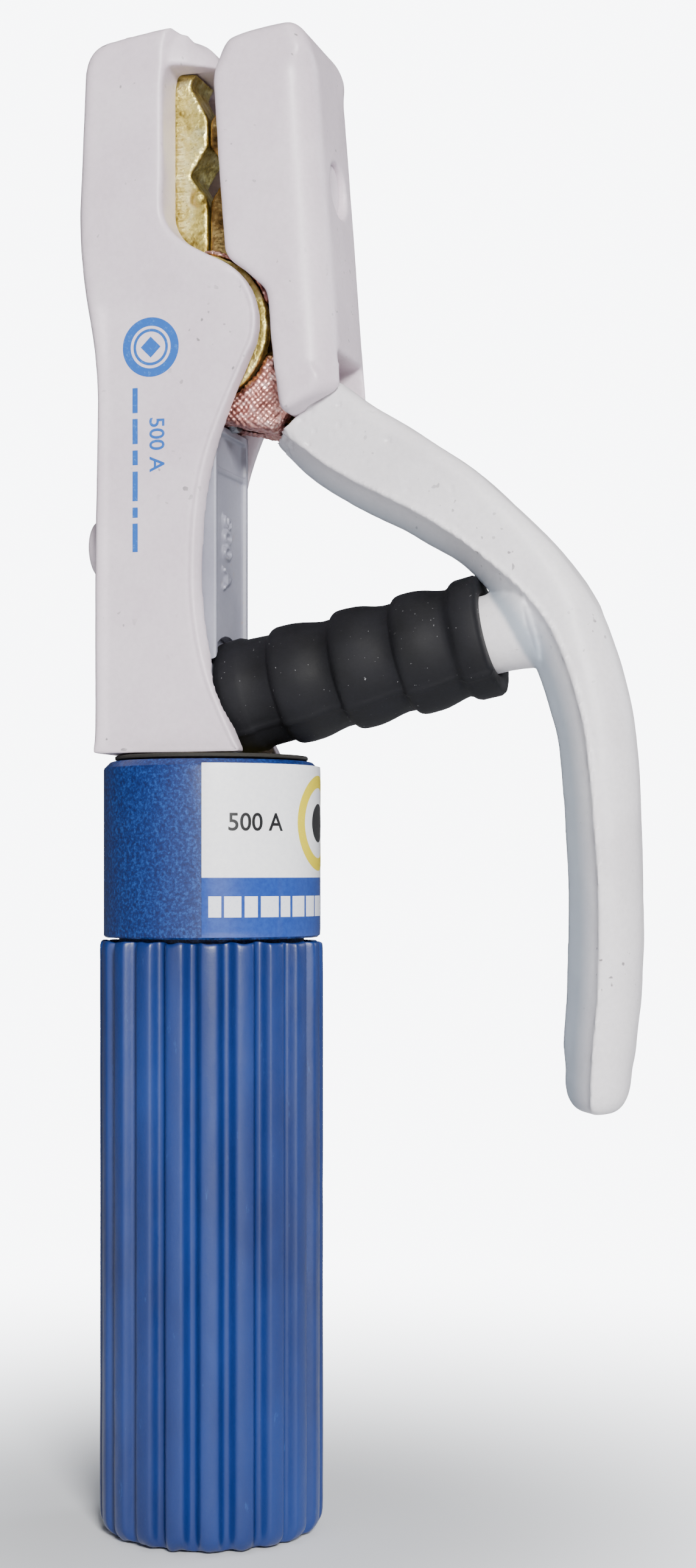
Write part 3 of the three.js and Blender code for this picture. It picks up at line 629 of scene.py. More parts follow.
# Remeshing evenly and smoothing gives the soft edges that a mould or a sand core leaves.
def softened(piece, voxel, rounds, factor=0.5):
    applyModifier(piece, "REMESH", mode="VOXEL", voxel_size=voxel * mm, use_smooth_shade=True)
    applyModifier(piece, "SMOOTH", factor=factor, iterations=rounds)
    activate(piece)
    bpy.ops.object.shade_smooth()
    return piece


def copyOf(nodeName, name):
    node = frame["nodes"][nodeName]
    mesh = node.data.copy()
    mesh.transform(node.matrix_world)
    piece = bpy.data.objects.new(name, mesh)
    linkToScene(piece)
    tidyFaces(piece, outward=False)
    return piece


# Moves each point along its normal by shift(place, normal), all in mm.
def nudge(piece, shift):
    mesh = piece.data
    normals = [v.normal.copy() for v in mesh.vertices]
    for vertex, normal in zip(mesh.vertices, normals):
        vertex.co += normal * shift(vertex.co / mm, normal) * mm
    mesh.update()


def ease(low, high, value):
    t = min(1.0, max(0.0, (value - low) / (high - low)))
    return t * t * (3 - 2 * t)


def waves(place, size, seed=0.0):
    return noise(place / size + Vector((seed, seed * 1.7, -seed)))


# Cover of the fixed jaw: two side walls and a spine moulded in one, with a roof over the jaw.
fixedCover = {
    "half": 13.0,
    "channelHalf": 9.3,
    "channelTop": 13.4,
    "pocketHalf": 5.3,
    "pocketTop": 46.3,
    "spine": -17.4,
    "spineInside": -13.4,
    "crownBack": -20.7,
    "crownTop": 52.3,
    "windowEdge": -4.8,
    "bulge": (12.3, 1.17, -0.31),  # radius, and where its arc starts and ends
    "waist": 1.7,
    "foot": -74.4,
    "footFront": 9.5,
    "bossHeight": -37.0,
    "thinning": 0.75,  # the side walls are thinner below the crown
    "grain": 0.45,
}
springFrom = Vector((4.0, -64.6))
springTo = Vector((49.8, -54.5))
springRun = (springTo - springFrom).normalized()
bootSeat = 11.2  # radius cut in the cover and panel for the bellows


def alongSpring(distance, y=0.0, out=0.0):
    spot = springFrom + springRun * distance + Vector((-springRun.y, springRun.x)) * out
    return (spot.x, y, spot.y + pivotZ)


def fixedCoverOutline():
    radius, start, end = fixedCover["bulge"]
    edge = fixedCover["windowEdge"]
    spine = fixedCover["spine"]
    back = fixedCover["crownBack"]
    top = fixedCover["crownTop"]
    waist = fixedCover["waist"]
    foot = fixedCover["foot"]
    outline = [(spine - 0.45, foot), (spine - 0.5, -46.0), (spine, -12.0)]
    outline += bezier((spine, -12), (spine, 0), (back, 5), (back, 21), 14)
    outline.append((back + 1.1, 45.5))
    outline += bezier((back + 1.1, 45.5), (back + 1.5, 48.6), (back + 3.2, top - 1.9), (-14.6, top - 1.6), 8)
    outline += bezier((-14.6, top - 1.6), (-9.5, top - 0.7), (-4.6, top), (-3.0, top), 6)
    outline += bezier((-3.0, top), (-3.6, 48.4), (-4.6, 44.5), (edge, 42), 6)
    outline.append((edge, 21.0))
    meet = (radius * math.cos(start), radius * math.sin(start))
    outline += bezier((edge, 21), (edge, 16.8), (edge + 3.2, 14.4), meet, 10)
    for i in range(1, 21):
        angle = start + (end - start) * i / 20
        outline.append((radius * math.cos(angle), radius * math.sin(angle)))
    outline += bezier(outline[-1], (waist + 4.5, -16), (waist, -24), (waist, -43), 16)
    outline += bezier((waist, -43), (waist, -55), (waist + 2.8, -63.5), (fixedCover["footFront"], foot), 14)
    return [headPlace(x, z) for x, z in outline]


def fixedCoverRim(point):
    x = point.x
    z = point.y - pivotZ
    if z < -73.2:
        return (0.5, 0.4)
    if x < -13:
        return (2.4, 2.0)
    if z > 46:
        return (2.4, 1.8)
    if z > 17:
        return (0.8, 0.5)
    if z > -6:
        return (1.2, 0.8)
    band = ease(-8, -30, z) * ease(-73, -60, z)
    return (3.9, 0.5 + 1.5 * band)


outline = evenly(fixedCoverOutline(), 0.8)
cover = roundedPlate("fixed_cover_shell", outline, fixedCover["half"], fixedCoverRim, 6)
roofRings = []
for z, front, tip, shoulder in (
        (45.6, 3.9, 7.2, 12.7), (46.6, 3.7, 7.1, 12.6), (47.6, 3.3, 7.0, 12.5), (48.6, 2.7, 6.8, 12.3),
        (49.5, 1.9, 6.5, 12.0), (50.3, 0.9, 6.2, 11.6), (51.0, -0.4, 5.8, 11.2), (51.6, -2.0, 5.2, 10.6)):
    roofRings.append([
        (x, y, z + pivotZ) for x, y in (
            (-12, -shoulder), (-5.4, -shoulder), (-1.0, -(shoulder + tip) / 2 - 0.7), (front - 1.2, -tip - 0.9),
            (front, -tip + 0.8), (front, tip - 0.8), (front - 1.2, tip + 0.9),
            (-1.0, (shoulder + tip) / 2 + 0.7),
            (-5.4, shoulder), (-12, shoulder))])
roof = loftPiece("roof", roofRings)
boss = turnedPiece("boss", [
    (0.01, 13.0), (5.9, 13.0), (5.9, 17.0), (5.6, 18.6), (5.4, 20.8), (5.1, 21.5), (4.4, 21.9),
    (0.01, 21.9)], 64)
bossZ = pivotZ + fixedCover["bossHeight"]
boss.data.transform(Matrix.Translation((0, 0, bossZ * mm)) @ Matrix.Rotation(-math.pi / 2, 4, "Y"))
# The far wall reaches further over the jaw than the near one, and closes the view through the grooves.
guard = boxPiece("guard", (-8, 9.8, pivotZ + 17), (-1.1, 12.6, pivotZ + 46))
cutAway(cover, [roof, boss, guard], "UNION")
inside = fixedCover["spineInside"]
channelHalf = fixedCover["channelHalf"]
channelTop = pivotZ + fixedCover["channelTop"]
pocketHalf = fixedCover["pocketHalf"]
cutAway(cover, [
    boxPiece("channel", (inside, -channelHalf, pivotZ - 80), (40, channelHalf, channelTop)),
    boxPiece("pocket", (inside, -pocketHalf, pivotZ - 2), (40, pocketHalf, pivotZ + fixedCover["pocketTop"])),
    rodPiece("hole", 2.6, (-30, 0, bossZ), (0, 0, bossZ), 32),
    rodPiece("counterbore", 4.0, (-30, 0, bossZ), (-18, 0, bossZ)),
    rodPiece("boot_seat", bootSeat, alongSpring(-0.3), alongSpring(30), 64),
])
softened(cover, fixedCover["grain"], 5)


def coverSurface(place, normal):
    crease = place.z - pivotZ - 0.16 * (place.x + 17)
    sides = ease(0.6, 0.95, abs(normal.y)) * ease(11.5, 12.4, abs(place.y))
    thinner = fixedCover["thinning"] * ease(3.4, 0.2, crease - 2.2) * ease(-17.5, -14.5, place.x)
    swell = 0.14 * ease(15.5, 19.5, crease) * ease(25, 20, crease)
    return sides * (swell - thinner) + 0.07 * waves(place, 9.0) + 0.02 * waves(place, 2.2, 3.0)


nudge(cover, coverSurface)
finishPiece(cover, "fixed_jaw_cover", bodyName, coverGrey, ["fixed_cover"])
print("fixed jaw cover:", len(cover.data.vertices), "points")


# Cover of the moving jaw, with a rounded back that leans in towards the top.
upperCover = {
    "half": 13.0,
    "back": 26.5,
    "lean": 0.077,
    "foot": -12.0,
    "top": 51.6,
    "backRound": 6.0,
    "wall": 4.0,
    "screwHeight": 24.5,
    "grain": 0.42,
}


def upperBackAt(z):
    return upperCover["back"] - upperCover["lean"] * (z - upperCover["foot"])


def upperCoverOutline():
    top = upperCover["top"]
    outline = [(4.5, 41.5)]
    outline += [(5.4, 28), (6.6, 12.3)]
    outline += bezier((6.6, 12.3), (7.4, 10.2), (8.8, 9.9), (9.8, 9.1), 4)
    outline += [(13.2, 6.0)]
    outline += bezier((13.2, 6.0), (14.4, 4.9), (14.5, 4.2), (14.8, -2), 5)
    outline += [(16.0, -13.6)]
    outline += bezier((16.0, -13.6), (16.3, -15.9), (17.0, -16.3), (18.4, -15.7), 5)
    outline += [(25.3, -12.3)]
    outline += [(upperBackAt(-11), -11.2)]
    outline += [(upperBackAt(top - 8), top - 8)]
    back = upperBackAt(top)
    outline += bezier(
        (upperBackAt(top - 8), top - 8), (back + 0.2, top - 3.0), (back - 1.8, top), (17.5, top), 10)
    outline += bezier((17.5, top), (13, top - 0.3), (9.0, top - 1.1), (7.2, top - 1.9), 6)
    outline += bezier((7.2, top - 1.9), (5.8, top - 2.6), (4.5, top - 5.5), (4.5, 41.5), 8)
    return [headPlace(x, z) for x, z in outline]


def upperCoverRim(point):
    z = point.y - pivotZ
    toBack = upperBackAt(z) - point.x
    if z > 44.5:
        return (3.6, 2.6)
    if toBack < 1.6 and z > -12.4:
        return (upperCover["backRound"], upperCover["backRound"] * 0.98)
    if z < -10 or (z < -6 and toBack < 4):
        return (2.2, 1.8)
    return (1.3, 1.0)


outline = evenly(upperCoverOutline(), 0.7)
upper = roundedPlate("upper_cover_shell", outline, upperCover["half"], upperCoverRim, 8)
innerTop = upperBackAt(44) - upperCover["wall"]
innerFoot = upperBackAt(-17) - upperCover["wall"]
level = upperCover["screwHeight"]
screwSeat = upperBackAt(level) - 3.2
cutAway(upper, [
    prismPiece("pocket", [(-5, 0), (-5, 44.3), (innerTop, 44.3), (innerFoot, 0)], -5.3, 5.3),
    prismPiece("wide_pocket", [
        (-5, -30), (-5, 13.7), (upperBackAt(13.7) - 4, 13.7), (innerFoot, -17), (innerFoot, -30)], -9.3, 9.3),
    boxPiece("notch", (innerFoot - 3, -7.8, pivotZ - 40), (40, 7.8, pivotZ - 5.3)),
    rodPiece("well", 4.8, (screwSeat, 0, pivotZ + level), (40, 0, pivotZ + level)),
    rodPiece("hole", 2.6, (5, 0, pivotZ + level), (40, 0, pivotZ + level), 32),
])
softened(upper, upperCover["grain"], 5)
nudge(upper, lambda place, normal: 0.09 * waves(place, 10.0, 5.0) + 0.02 * waves(place, 2.0, 9.0))
finishPiece(upper, "moving_jaw_cover", leverName, coverGrey, ["upper_jaw_cover"])
print("moving jaw cover:", len(upper.data.vertices), "points")


# Rubber bellows over the spring: steep rings on the side of the body, gentle ones towards the lever.
boot = {
    "length": 48.3,
    "endRadius": 10.1,
    "crest": 10.7,
    "valley": 9.5,
    "bore": 7.9,
    "band": 4.8,
    "firstCrest": 13.4,
    "pitch": 11.3,
    "folds": 3,
    "flange": 4.6,
    "lip": (7.2, 2.2),  # radius and depth of the mouth that takes the lever's boss
    "seam": 0.35,
}
springTurn = Vector((springRun.x, 0, springRun.y)).to_track_quat("Z", "Y").to_matrix().to_4x4()
springPlace = Matrix.Translation(Vector((springFrom.x, 0, springFrom.y + pivotZ)) * mm) @ springTurn


def bootProfile():
    radius = boot["endRadius"]
    crest = boot["crest"]
    valley = boot["valley"]
    bore = boot["bore"]
    band = boot["band"]
    end = boot["length"]
    mouth, depth = boot["lip"]
    points = [
        (radius - 0.7, 0.05), (radius - 0.1, 0.5), (radius, 1.4), (radius + 0.15, band - 0.7),
        (radius - 0.1, band), (valley + 0.25, band + 0.5)]
    for i in range(boot["folds"]):
        middle = boot["firstCrest"] + i * boot["pitch"]
        high = crest - (0.15 if i == 0 else 0)
        points += bezier(
            (valley, middle - 4.0), (valley, middle - 2.9), (high - 0.05, middle - 3.4),
            (high, middle - 1.6), 8)
        points += bezier(
            (high, middle - 1.6), (high + 0.1, middle + 2.6), (valley + 0.35, middle + 3.2),
            (valley, middle + 6.2), 10)
    rise = end - boot["flange"]
    return points + [
        (valley + 0.3, rise - 0.8), (crest - 0.35, rise - 0.2), (crest - 0.05, rise + 0.5),
        (crest, end - 0.9), (crest - 0.3, end - 0.25), (crest - 0.9, end),
        (mouth + 0.3, end), (mouth, end - 0.4), (mouth, end - depth), (bore, end - depth - 0.5),
        (bore, 24.0), (bore, 0.4), (bore + 0.3, 0.05)]


bellows = turnedPiece("bellows", bootProfile(), 112)


# A moulding seam along the front and a rubber skin that isn't quite true.
def bellowsSkin(place, normal):
    around = math.atan2(place.y, place.x)
    outside = ease(8.4, 9.0, math.hypot(place.x, place.y))
    seam = boot["seam"] * math.exp(-((around - seamAngle) / 0.045) ** 2)
    return outside * (seam + 0.12 * waves(place, 6.0) + 0.03 * waves(place, 1.2, 4.0))


def facingDown(angle):
    across = springTurn.to_3x3() @ Vector((math.cos(angle), math.sin(angle), 0))
    return across.dot(Vector((0.1, -0.72, -0.69)))


# The seam runs along the side that faces the front and a little down.
seamAngle = max((math.radians(degrees) for degrees in range(0, 360, 5)), key=facingDown)
if seamAngle >= math.pi:
    seamAngle -= 2 * math.pi
nudge(bellows, bellowsSkin)
bellows.data.transform(springPlace)
tidyFaces(bellows, 60)
finishPiece(bellows, "spring_bellows", None, rubber, ["spring_boot"])
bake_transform(bellows)


# Return spring: the last turn at each end lies flat.
spring = {
    "radius": 6.0,
    "wire": 1.1,
    "turns": 8,
    "from": -3.6,
    "to": 42.0,
    "pointsPerTurn": 20,
}
count = spring["turns"] * spring["pointsPerTurn"]
curveData = bpy.data.curves.new("return_spring_wire", "CURVE")
curveData.dimensions = "3D"
curveData.bevel_depth = spring["wire"] * mm
curveData.bevel_resolution = 2
curveData.use_fill_caps = True
coil = curveData.splines.new("POLY")
coil.points.add(count)
for i in range(count + 1):
    turn = i / spring["pointsPerTurn"]
    evenShare = min(1, max(0, (turn - 0.5) / (spring["turns"] - 1)))
    share = ease(0.3, spring["turns"] - 0.3, turn) * 0.25 + 0.75 * evenShare
    along = spring["from"] + (spring["to"] - spring["from"]) * share
    angle = 2 * math.pi * turn
    coil.points[i].co = (
        spring["radius"] * math.cos(angle) * mm, spring["radius"] * math.sin(angle) * mm, along * mm, 1)
wire = bpy.data.objects.new("return_spring_wire", curveData)
linkToScene(wire)
activate(wire)
bpy.ops.object.convert(target="MESH")
wire.data.transform(springPlace)
tidyFaces(wire, 60)
finishPiece(wire, "return_spring_wire", None, steel, ["return_spring"])
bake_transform(wire)
print("return spring wound")


# Lever sleeve, lofted from the cut end at the knuckle to the round tip. Its outer half is flat-sided,
# and from a parting line on each side its inner half slopes away to a narrow inner face.
leverSleeve = {
    # x, height from the hinge, half width across, and where the parting line lies across it
    "path": [
        (19.6, -15.6, 7.9, -4.2), (25.0, -20.2, 8.3, -4.4), (30.9, -23.9, 8.3, -4.3), (42.4, -30.8, 7.6, -3.6),
        (51.4, -37.7, 6.7, -3.0), (59.2, -46.0, 6.8, -1.8), (64.2, -54.2, 7.0, -0.8), (67.9, -64.5, 6.8, -0.6),
        (70.0, -76.0, 6.5, -0.4), (71.1, -98.0, 6.3, 0.2), (70.9, -114.0, 6.3, 0.4), (70.1, -124.0, 6.1, 0.4),
        (69.8, -130.2, 5.5, 0.3)],
    "half": 7.5,
    "outerRound": 2.9,
    "tipReach": 6.2,
    "cutBack": 2.6,  # how far the inner corner of the cut end reaches past the outer one
    "grain": 0.40,
}


def leverStations(steps):
    path = leverSleeve["path"]
    middle = [Vector((x, z)) for x, z, _, _ in path]
    runs = [0.0]
    for a, b in zip(middle, middle[1:]):
        runs.append(runs[-1] + (b - a).length)
    ghostA = middle[0] * 2 - middle[1]
    ghostB = middle[-1] * 2 - middle[-2]
    points = [ghostA] + middle + [ghostB]
    stations = []
    for i in range(len(path) - 1):
        a, b, c, d = points[i:i + 4]
        for k in range(steps):
            t = k / steps
            bend = (2 * a - 5 * b + 4 * c - d) * t * t + (3 * b - a - 3 * c + d) * t ** 3
            spot = 0.5 * ((2 * b) + (c - a) * t + bend)
            width = path[i][2] + (path[i + 1][2] - path[i][2]) * (t * t * (3 - 2 * t))
            part = path[i][3] + (path[i + 1][3] - path[i][3]) * t
            stations.append((spot, width, part, runs[i] + (runs[i + 1] - runs[i]) * t))
    stations.append((middle[-1], path[-1][2], path[-1][3], runs[-1]))
    return stations


# Outline across the sleeve, as (across, y): across grows towards the outside of the curve.
# The outer half is flat-sided at the knuckle and becomes round down the lever.
def leverSection(width, part, half, round):
    corner = leverSleeve["outerRound"]
    r = corner + (width - part - corner) * round
    drop = half - (1 - round) * (half - r - 1.5) if round > 0.5 else corner + (half - 3) * round
    side = [(width, 0.0), (width, max(0.2, (half - drop) * 0.5))]
    side += bezier(
        (width, max(0.3, half - drop)), (width, half - drop * 0.42), (width - r * 0.42, half),
        (width - r, half), 8)
    side += [((width - r + part) / 2, half), (part + 0.35, half), (part, half + 0.16)]
    side.append((part - 0.35, half - 0.22))
    side += bezier(
        (part - 0.35, half - 0.5), (part - (width + part) * 0.40, half - 2.7), (-width + 0.4, half - 5.2),
        (-width, 1.7), 9)
    side += [(-width, 0.9)]
    other = [(x, -y) for x, y in reversed(side[1:])]
    return side + [(-width, 0.0)] + other


# Direction along a path at one of its points, and across it towards the outside of the curve.
def directionsAt(points, i):
    ahead = (points[min(len(points) - 1, i + 1)] - points[max(0, i - 1)]).normalized()
    return ahead, Vector((-ahead.y, ahead.x))


stations = leverStations(5)
middles = [spot for spot, _, _, _ in stations]
rings = []
partingPlaces = []
for i, (spot, width, part, run) in enumerate(stations):
    ahead, across = directionsAt(middles, i)
    lip = 0.96 + 0.04 * ease(0, 1.0, run)
    ring = []
    for c, y in leverSection(width, part, leverSleeve["half"], ease(38, 78, run)):
        back = leverSleeve["cutBack"] * min(0.0, c / width) * ease(9, 0, run)
        flat = spot + ahead * back + across * c * lip
        ring.append((flat.x, y * lip, flat.y + pivotZ))
    rings.append(ring)
    if run > 6:
        partingPlaces.append((spot, across, part, width))
tipSpot, width, part, _ = stations[-1]
ahead, across = directionsAt(middles, len(middles) - 1)
for i in range(1, 9):
    angle = math.pi / 2 * i / 9
    reach = leverSleeve["tipReach"] * math.sin(angle)
    shrink = math.cos(angle) ** 0.62
    spot = tipSpot + ahead * reach
    rings.append([
        (spot.x + across.x * c * shrink, y * (0.25 + 0.75 * shrink), spot.y + pivotZ + across.y * c * shrink)
        for c, y in leverSection(width, part, leverSleeve["half"], 1.0)])
sleeve = loftPiece("lever_sleeve_core", rings)
tidyFaces(sleeve, 40)
bossTurned = turnedPiece("lever_boss", [
    (0.01, 44.9), (6.3, 44.9), (6.85, 45.4), (6.85, 50.0), (7.1, 52.5), (7.4, 54.5), (7.4, 56.0),
    (0.01, 57.0)], 64)
bossTurned.data.transform(springPlace)
cutAway(sleeve, [bossTurned], "UNION")
softened(sleeve, leverSleeve["grain"], 2)
armRun = [
    Vector(spot) for spot in (
        (13.5, 4.0), (15.5, -7.0), (19.6, -15.6), (30.9, -23.9), (42.4, -30.8), (47.0, -34.3))]
armRings = []
for i, spot in enumerate(armRun):
    _, across = directionsAt(armRun, i)
    armRings.append([
        (spot.x + across.x * c, y, spot.y + pivotZ + across.y * c)
        for c, y in ((4.7, -4.5), (4.7, 4.5), (-4.7, 4.5), (-4.7, -4.5))])
cutAway(sleeve, [loftPiece("arm_pocket", armRings)])


# How far a point lies outside the parting line, and how far outside the sleeve's inner face.
def pastParting(place):
    flat = Vector((place.x, place.z - pivotZ))
    spot, across, part, width = min(partingPlaces, key=lambda item: (item[0] - flat).length_squared)
    offset = (flat - spot).dot(across)
    return (offset - part, offset + width)


# A thin ragged flash line stands along each parting.
def partingFlash(place, normal):
    offset, _ = pastParting(place)
    if abs(offset) > 0.7 or abs(place.y) < 5.5:
        return 0.0
    return (0.22 + 0.25 * waves(place, 1.6, 5.0)) * math.exp(-(offset / 0.30) ** 2)


# Chips and pits where the sleeve was trimmed at the knuckle, and nicks along its front.
def leverSurface(place, normal):
    alongStart = (Vector((place.x, place.z - pivotZ)) - armRun[2]).dot(Vector((0.77, -0.64)))
    nearCut = ease(2.6, 0.6, alongStart)
    chip = min(0.0, waves(place, 1.3, 2.0) + 0.1) * 0.8 * nearCut
    nick = min(0.0, waves(place, 1.1, 21.0) + 0.52) * 2.2 * ease(60, 30, place.x) * ease(-6.0, -7.0, place.y)
    return chip + nick + 0.12 * waves(place, 8.0, 7.0) + 0.03 * waves(place, 1.9, 1.0)


nudge(sleeve, partingFlash)
nudge(sleeve, leverSurface)
# Painted shade on the lever's inner slope, deepening towards the inner face.
handled = sleeve.data.attributes.new("handled", "FLOAT", "POINT")
for vertex in sleeve.data.vertices:
    place = vertex.co / mm
    past, inside = pastParting(place)
    innerShadeLevel = 0.25 * ease(0.1, -0.6, past) + 0.80 * ease(-0.4, -5.0, past)
    handled.data[vertex.index].value = min(1.0, innerShadeLevel) * ease(-0.9, 0.2, inside)
finishPiece(sleeve, "lever_insulating_sleeve", leverName, leverGrey, ["lever_sleeve"])
print("lever sleeve:", len(sleeve.data.vertices), "points")


# Tube and collar of the handle.
handle = {
    "bore": 12.2,
    "tubeRadius": 16.5,
    "collarRadius": 19.2,
    "shoulder": 105.2,
    "top": 136.3,
    "screwHeight": 130.0,
    "gripLength": 104.9,
    "gripRadius": 19.95,
    "gripBore": 16.8,
    "ribs": 20,
    "ribDepth": 1.9,
    "pointsPerRib": 16,
}
bore = handle["bore"]
top = handle["top"]
shoulder = handle["shoulder"]


def handleScrewHole():
    return rodPiece("hole", 2.9, (0, 8, handle["screwHeight"]), (0, 25, handle["screwHeight"]), 32)


radius = handle["tubeRadius"]
tube = turnedPiece("handle_liner", [
    (bore, 0.4), (bore + 0.4, 0), (radius - 0.4, 0), (radius, 0.4), (radius, 40), (radius, 90),
    (radius, top - 0.3), (radius - 0.3, top), (bore + 0.6, top), (bore, top - 0.6), (bore, 60)], 128)
cutAway(tube, [handleScrewHole()])
tidyFaces(tube, 35)
finishPiece(tube, "handle_liner", bodyName, tubeBlue, ["handle_tube"])

inner = radius + 0.3
outer = handle["collarRadius"]
collar = turnedPiece("collar", [
    (inner, shoulder + 0.3), (inner + 0.3, shoulder), (outer - 0.3, shoulder), (outer, shoulder + 0.3),
    (outer, 115), (outer, 125), (outer, top - 1.5), (outer - 0.12, top - 1.15), (outer - 1.15, top - 0.12),
    (outer - 1.5, top), (inner + 0.3, top), (inner, top - 0.3)], 160)
cutAway(collar, [handleScrewHole()])
tidyFaces(collar, 22)
finishPiece(collar, "speckled_collar", bodyName, tubeBlue, ["handle_collar"])
print("tube and collar turned")


# Ribbed sleeve: round-topped ribs, uneven where the mould let go of its ends.
def gripAngle(i):
    return 2 * math.pi * (i / handle["pointsPerRib"] - 0.5) / handle["ribs"] - math.pi / 2


def gripRing(z, drawn, raggedness):
    crest = handle["gripRadius"]
    root = crest - handle["ribDepth"]
    points = []
    for i in range(handle["ribs"] * handle["pointsPerRib"]):
        rib, along = divmod(i / handle["pointsPerRib"], 1.0)
        fromCrest = abs(along - 0.5) * 2  # 0 on the crest, 1 in the flute
        lift = 1 - ease(0.46, 0.86, fromCrest)
        crown = 0.16 * (1 - min(1, fromCrest / 0.5) ** 2)
        high = crest - 0.16 - 0.10 * abs(noise(Vector((rib * 3.1, z / 60, 0.5))))
        radius = min(root + (high - root) * lift + crown * lift, crest) - drawn * (0.35 + 0.65 * lift)
        angle = gripAngle(i)
        ragged = raggedness * noise(Vector((math.cos(angle) * 9, math.sin(angle) * 9, 2.0)))
        points.append((radius * math.cos(angle), radius * math.sin(angle), z + ragged))
    return points


end = handle["gripLength"]
gripRings = [
    gripRing(0.25, 1.9, 0.5), gripRing(0.55, 1.35, 0.5), gripRing(1.3, 0.6, 0.3), gripRing(2.3, 0.12, 0.1)]
gripRings += [gripRing(z, 0, 0) for z in (3.6, 12, 26, 40, 54, 68, 82, 95, 102)]
gripRings += [gripRing(end - 1.0, 0.02, 0.1), gripRing(end - 0.4, 0.2, 0.35), gripRing(end - 0.3, 0.7, 0.5)]
for z in (end - 0.5, 70, 35, 0.4):
    gripRings.append([
        (handle["gripBore"] * math.cos(gripAngle(i)), handle["gripBore"] * math.sin(gripAngle(i)), z)
        for i in range(handle["ribs"] * handle["pointsPerRib"])])
grip = loftPiece("ribbed_sleeve", gripRings, capEnds=False, closeUp=True)
applyModifier(grip, "SUBSURF", levels=1, render_levels=1)
tidyFaces(grip, 50)
nudge(grip, lambda place, normal: ease(17.8, 18.2, math.hypot(place.x, place.y)) * (
    0.05 * waves(place, 7.0, 3.0) - 0.03 + 0.02 * waves(place, 1.4, 8.0)))
finishPiece(grip, "ribbed_handle_sleeve", bodyName, nylonBlue, ["grip_sleeve"])
print("ribbed sleeve:", len(grip.data.vertices), "points")


# Label, wrapped round the collar, with its print laid just over it.
label = {
    "radius": 19.42,
    "inside": 19.22,
    "low": 105.55,
    "height": 29.9,
    "start": 14.0,  # degrees from the front, towards the lever
    "sweep": 176.0,
    "bandTop": 115.8,
    "printLift": 0.03,
}


def onLabel(degrees, z, radius):
    angle = math.radians(degrees - 90)
    return (radius * math.cos(angle), radius * math.sin(angle), z)


def labelRing(z):
    start = label["start"]
    sweep = label["sweep"]
    fromEnd = min(z, label["height"] - z)
    lift = -0.06 * max(0.0, 1 - fromEnd / 1.0)
    steps = [start + sweep * k / 88 for k in range(89)]
    ring = []
    for degrees in steps:
        edge = min(degrees - start, start + sweep - degrees)
        soft = -0.08 * max(0.0, 1 - edge / 1.2)
        wave = 0.03 * noise(Vector((degrees / 14, z / 9, 0)))
        ring.append(onLabel(degrees, label["low"] + z, label["radius"] + lift + soft + wave))
    for degrees in reversed(steps):
        ring.append(onLabel(degrees, label["low"] + z, label["inside"]))
    return ring


labelRings = [labelRing(z) for z in (0, 0.35, 1.2, 6, 12, 18, 24, 28.7, 29.55, label["height"])]
paper = loftPiece("label_paper", labelRings)
tidyFaces(paper, 30)
labelPaper = laminatedPaper("laminated paper", label["bandTop"])
finishPiece(paper, "wrapped_label", bodyName, labelPaper, ["rating_label"])


# Print: flat shapes are drawn in x and y, then wrapped or laid on.
inkHalf = 0.012  # half the thickness of a print, mm


def wordPiece(name, words, size):
    clearSelection()
    bpy.ops.object.text_add()
    text = takeNew(name)
    text.data.body = words
    text.data.size = size * mm
    text.data.align_x = "CENTER"
    text.data.align_y = "CENTER"
    text.data.extrude = inkHalf * mm
    text.data.offset = 0.014 * size * mm  # a heavier stroke
    text.data.resolution_u = 6
    activate(text)
    bpy.ops.object.convert(target="MESH")
    return bpy.context.object


# Bars of one height: each is its middle and its length.
def barPiece(name, height, bars):
    parts = [
        boxPiece(name, (x - length / 2, -height / 2, -inkHalf), (x + length / 2, height / 2, inkHalf))
        for x, length in bars]
    joined(parts[0], parts[1:])
    return takeNew(name)


def ringPiece(name, radius, inside):
    corners = [(inside, -inkHalf), (radius, -inkHalf), (radius, inkHalf), (inside, inkHalf)]
    return turnedPiece(name, corners, 72)


# Lays a print round the collar, with its middle at these degrees and height.
def wrapPrint(piece, degrees, z):
    subdivided(piece, 3)
    radius = label["radius"] + label["printLift"]
    for vertex in piece.data.vertices:
        x, y, up = vertex.co / mm
        turn = degrees + math.degrees(x / radius)
        vertex.co = Vector(onLabel(turn, z + y, radius + up)) * mm
    piece.data.update()


# Stands a print up on the front plane of the cover, turned, and casts it onto the surface behind.
def castPrint(piece, x, z, turned):
    front = Vector((x, -fixedCover["half"] - 0.3, z)) * mm
    piece.data.transform(Matrix.Rotation(math.radians(turned), 4, "Z"))
    piece.data.transform(Matrix.Translation(front) @ Matrix.Rotation(math.radians(90), 4, "X"))
    subdivided(piece, 3)
    applyModifier(
        piece, "SHRINKWRAP", target=cover, wrap_method="PROJECT", use_project_y=True,
        use_positive_direction=True, use_negative_direction=False, offset=0.02 * mm,
        wrap_mode="ABOVE_SURFACE")


prints = [  # piece, degrees round from the front, height, ink
    (wordPiece("label_rating", "500 A", 4.3), 42.5, 125.2, inkBlack),
    (ringPiece("label_ring", 8.4, 6.2), 94.0, 125.4, inkYellow),
    (ringPiece("label_dot", 3.4, 0.02), 94.0, 125.4, inkBlack),
    (barPiece("label_bars", 3.6, [
        (-8.6, 2.2), (-5.5, 3.0), (-2.2, 2.4), (1.4, 3.6), (4.8, 2.2), (8.2, 3.4), (12.1, 3.2), (16.2, 3.8),
        (20.6, 3.6)]), 46.0, 110.8, inkWhite),
]
for piece, degrees, z, ink in prints:
    wrapPrint(piece, degrees, z)
    tidyFaces(piece, 30)
    finishPiece(piece, piece.name, bodyName, ink)

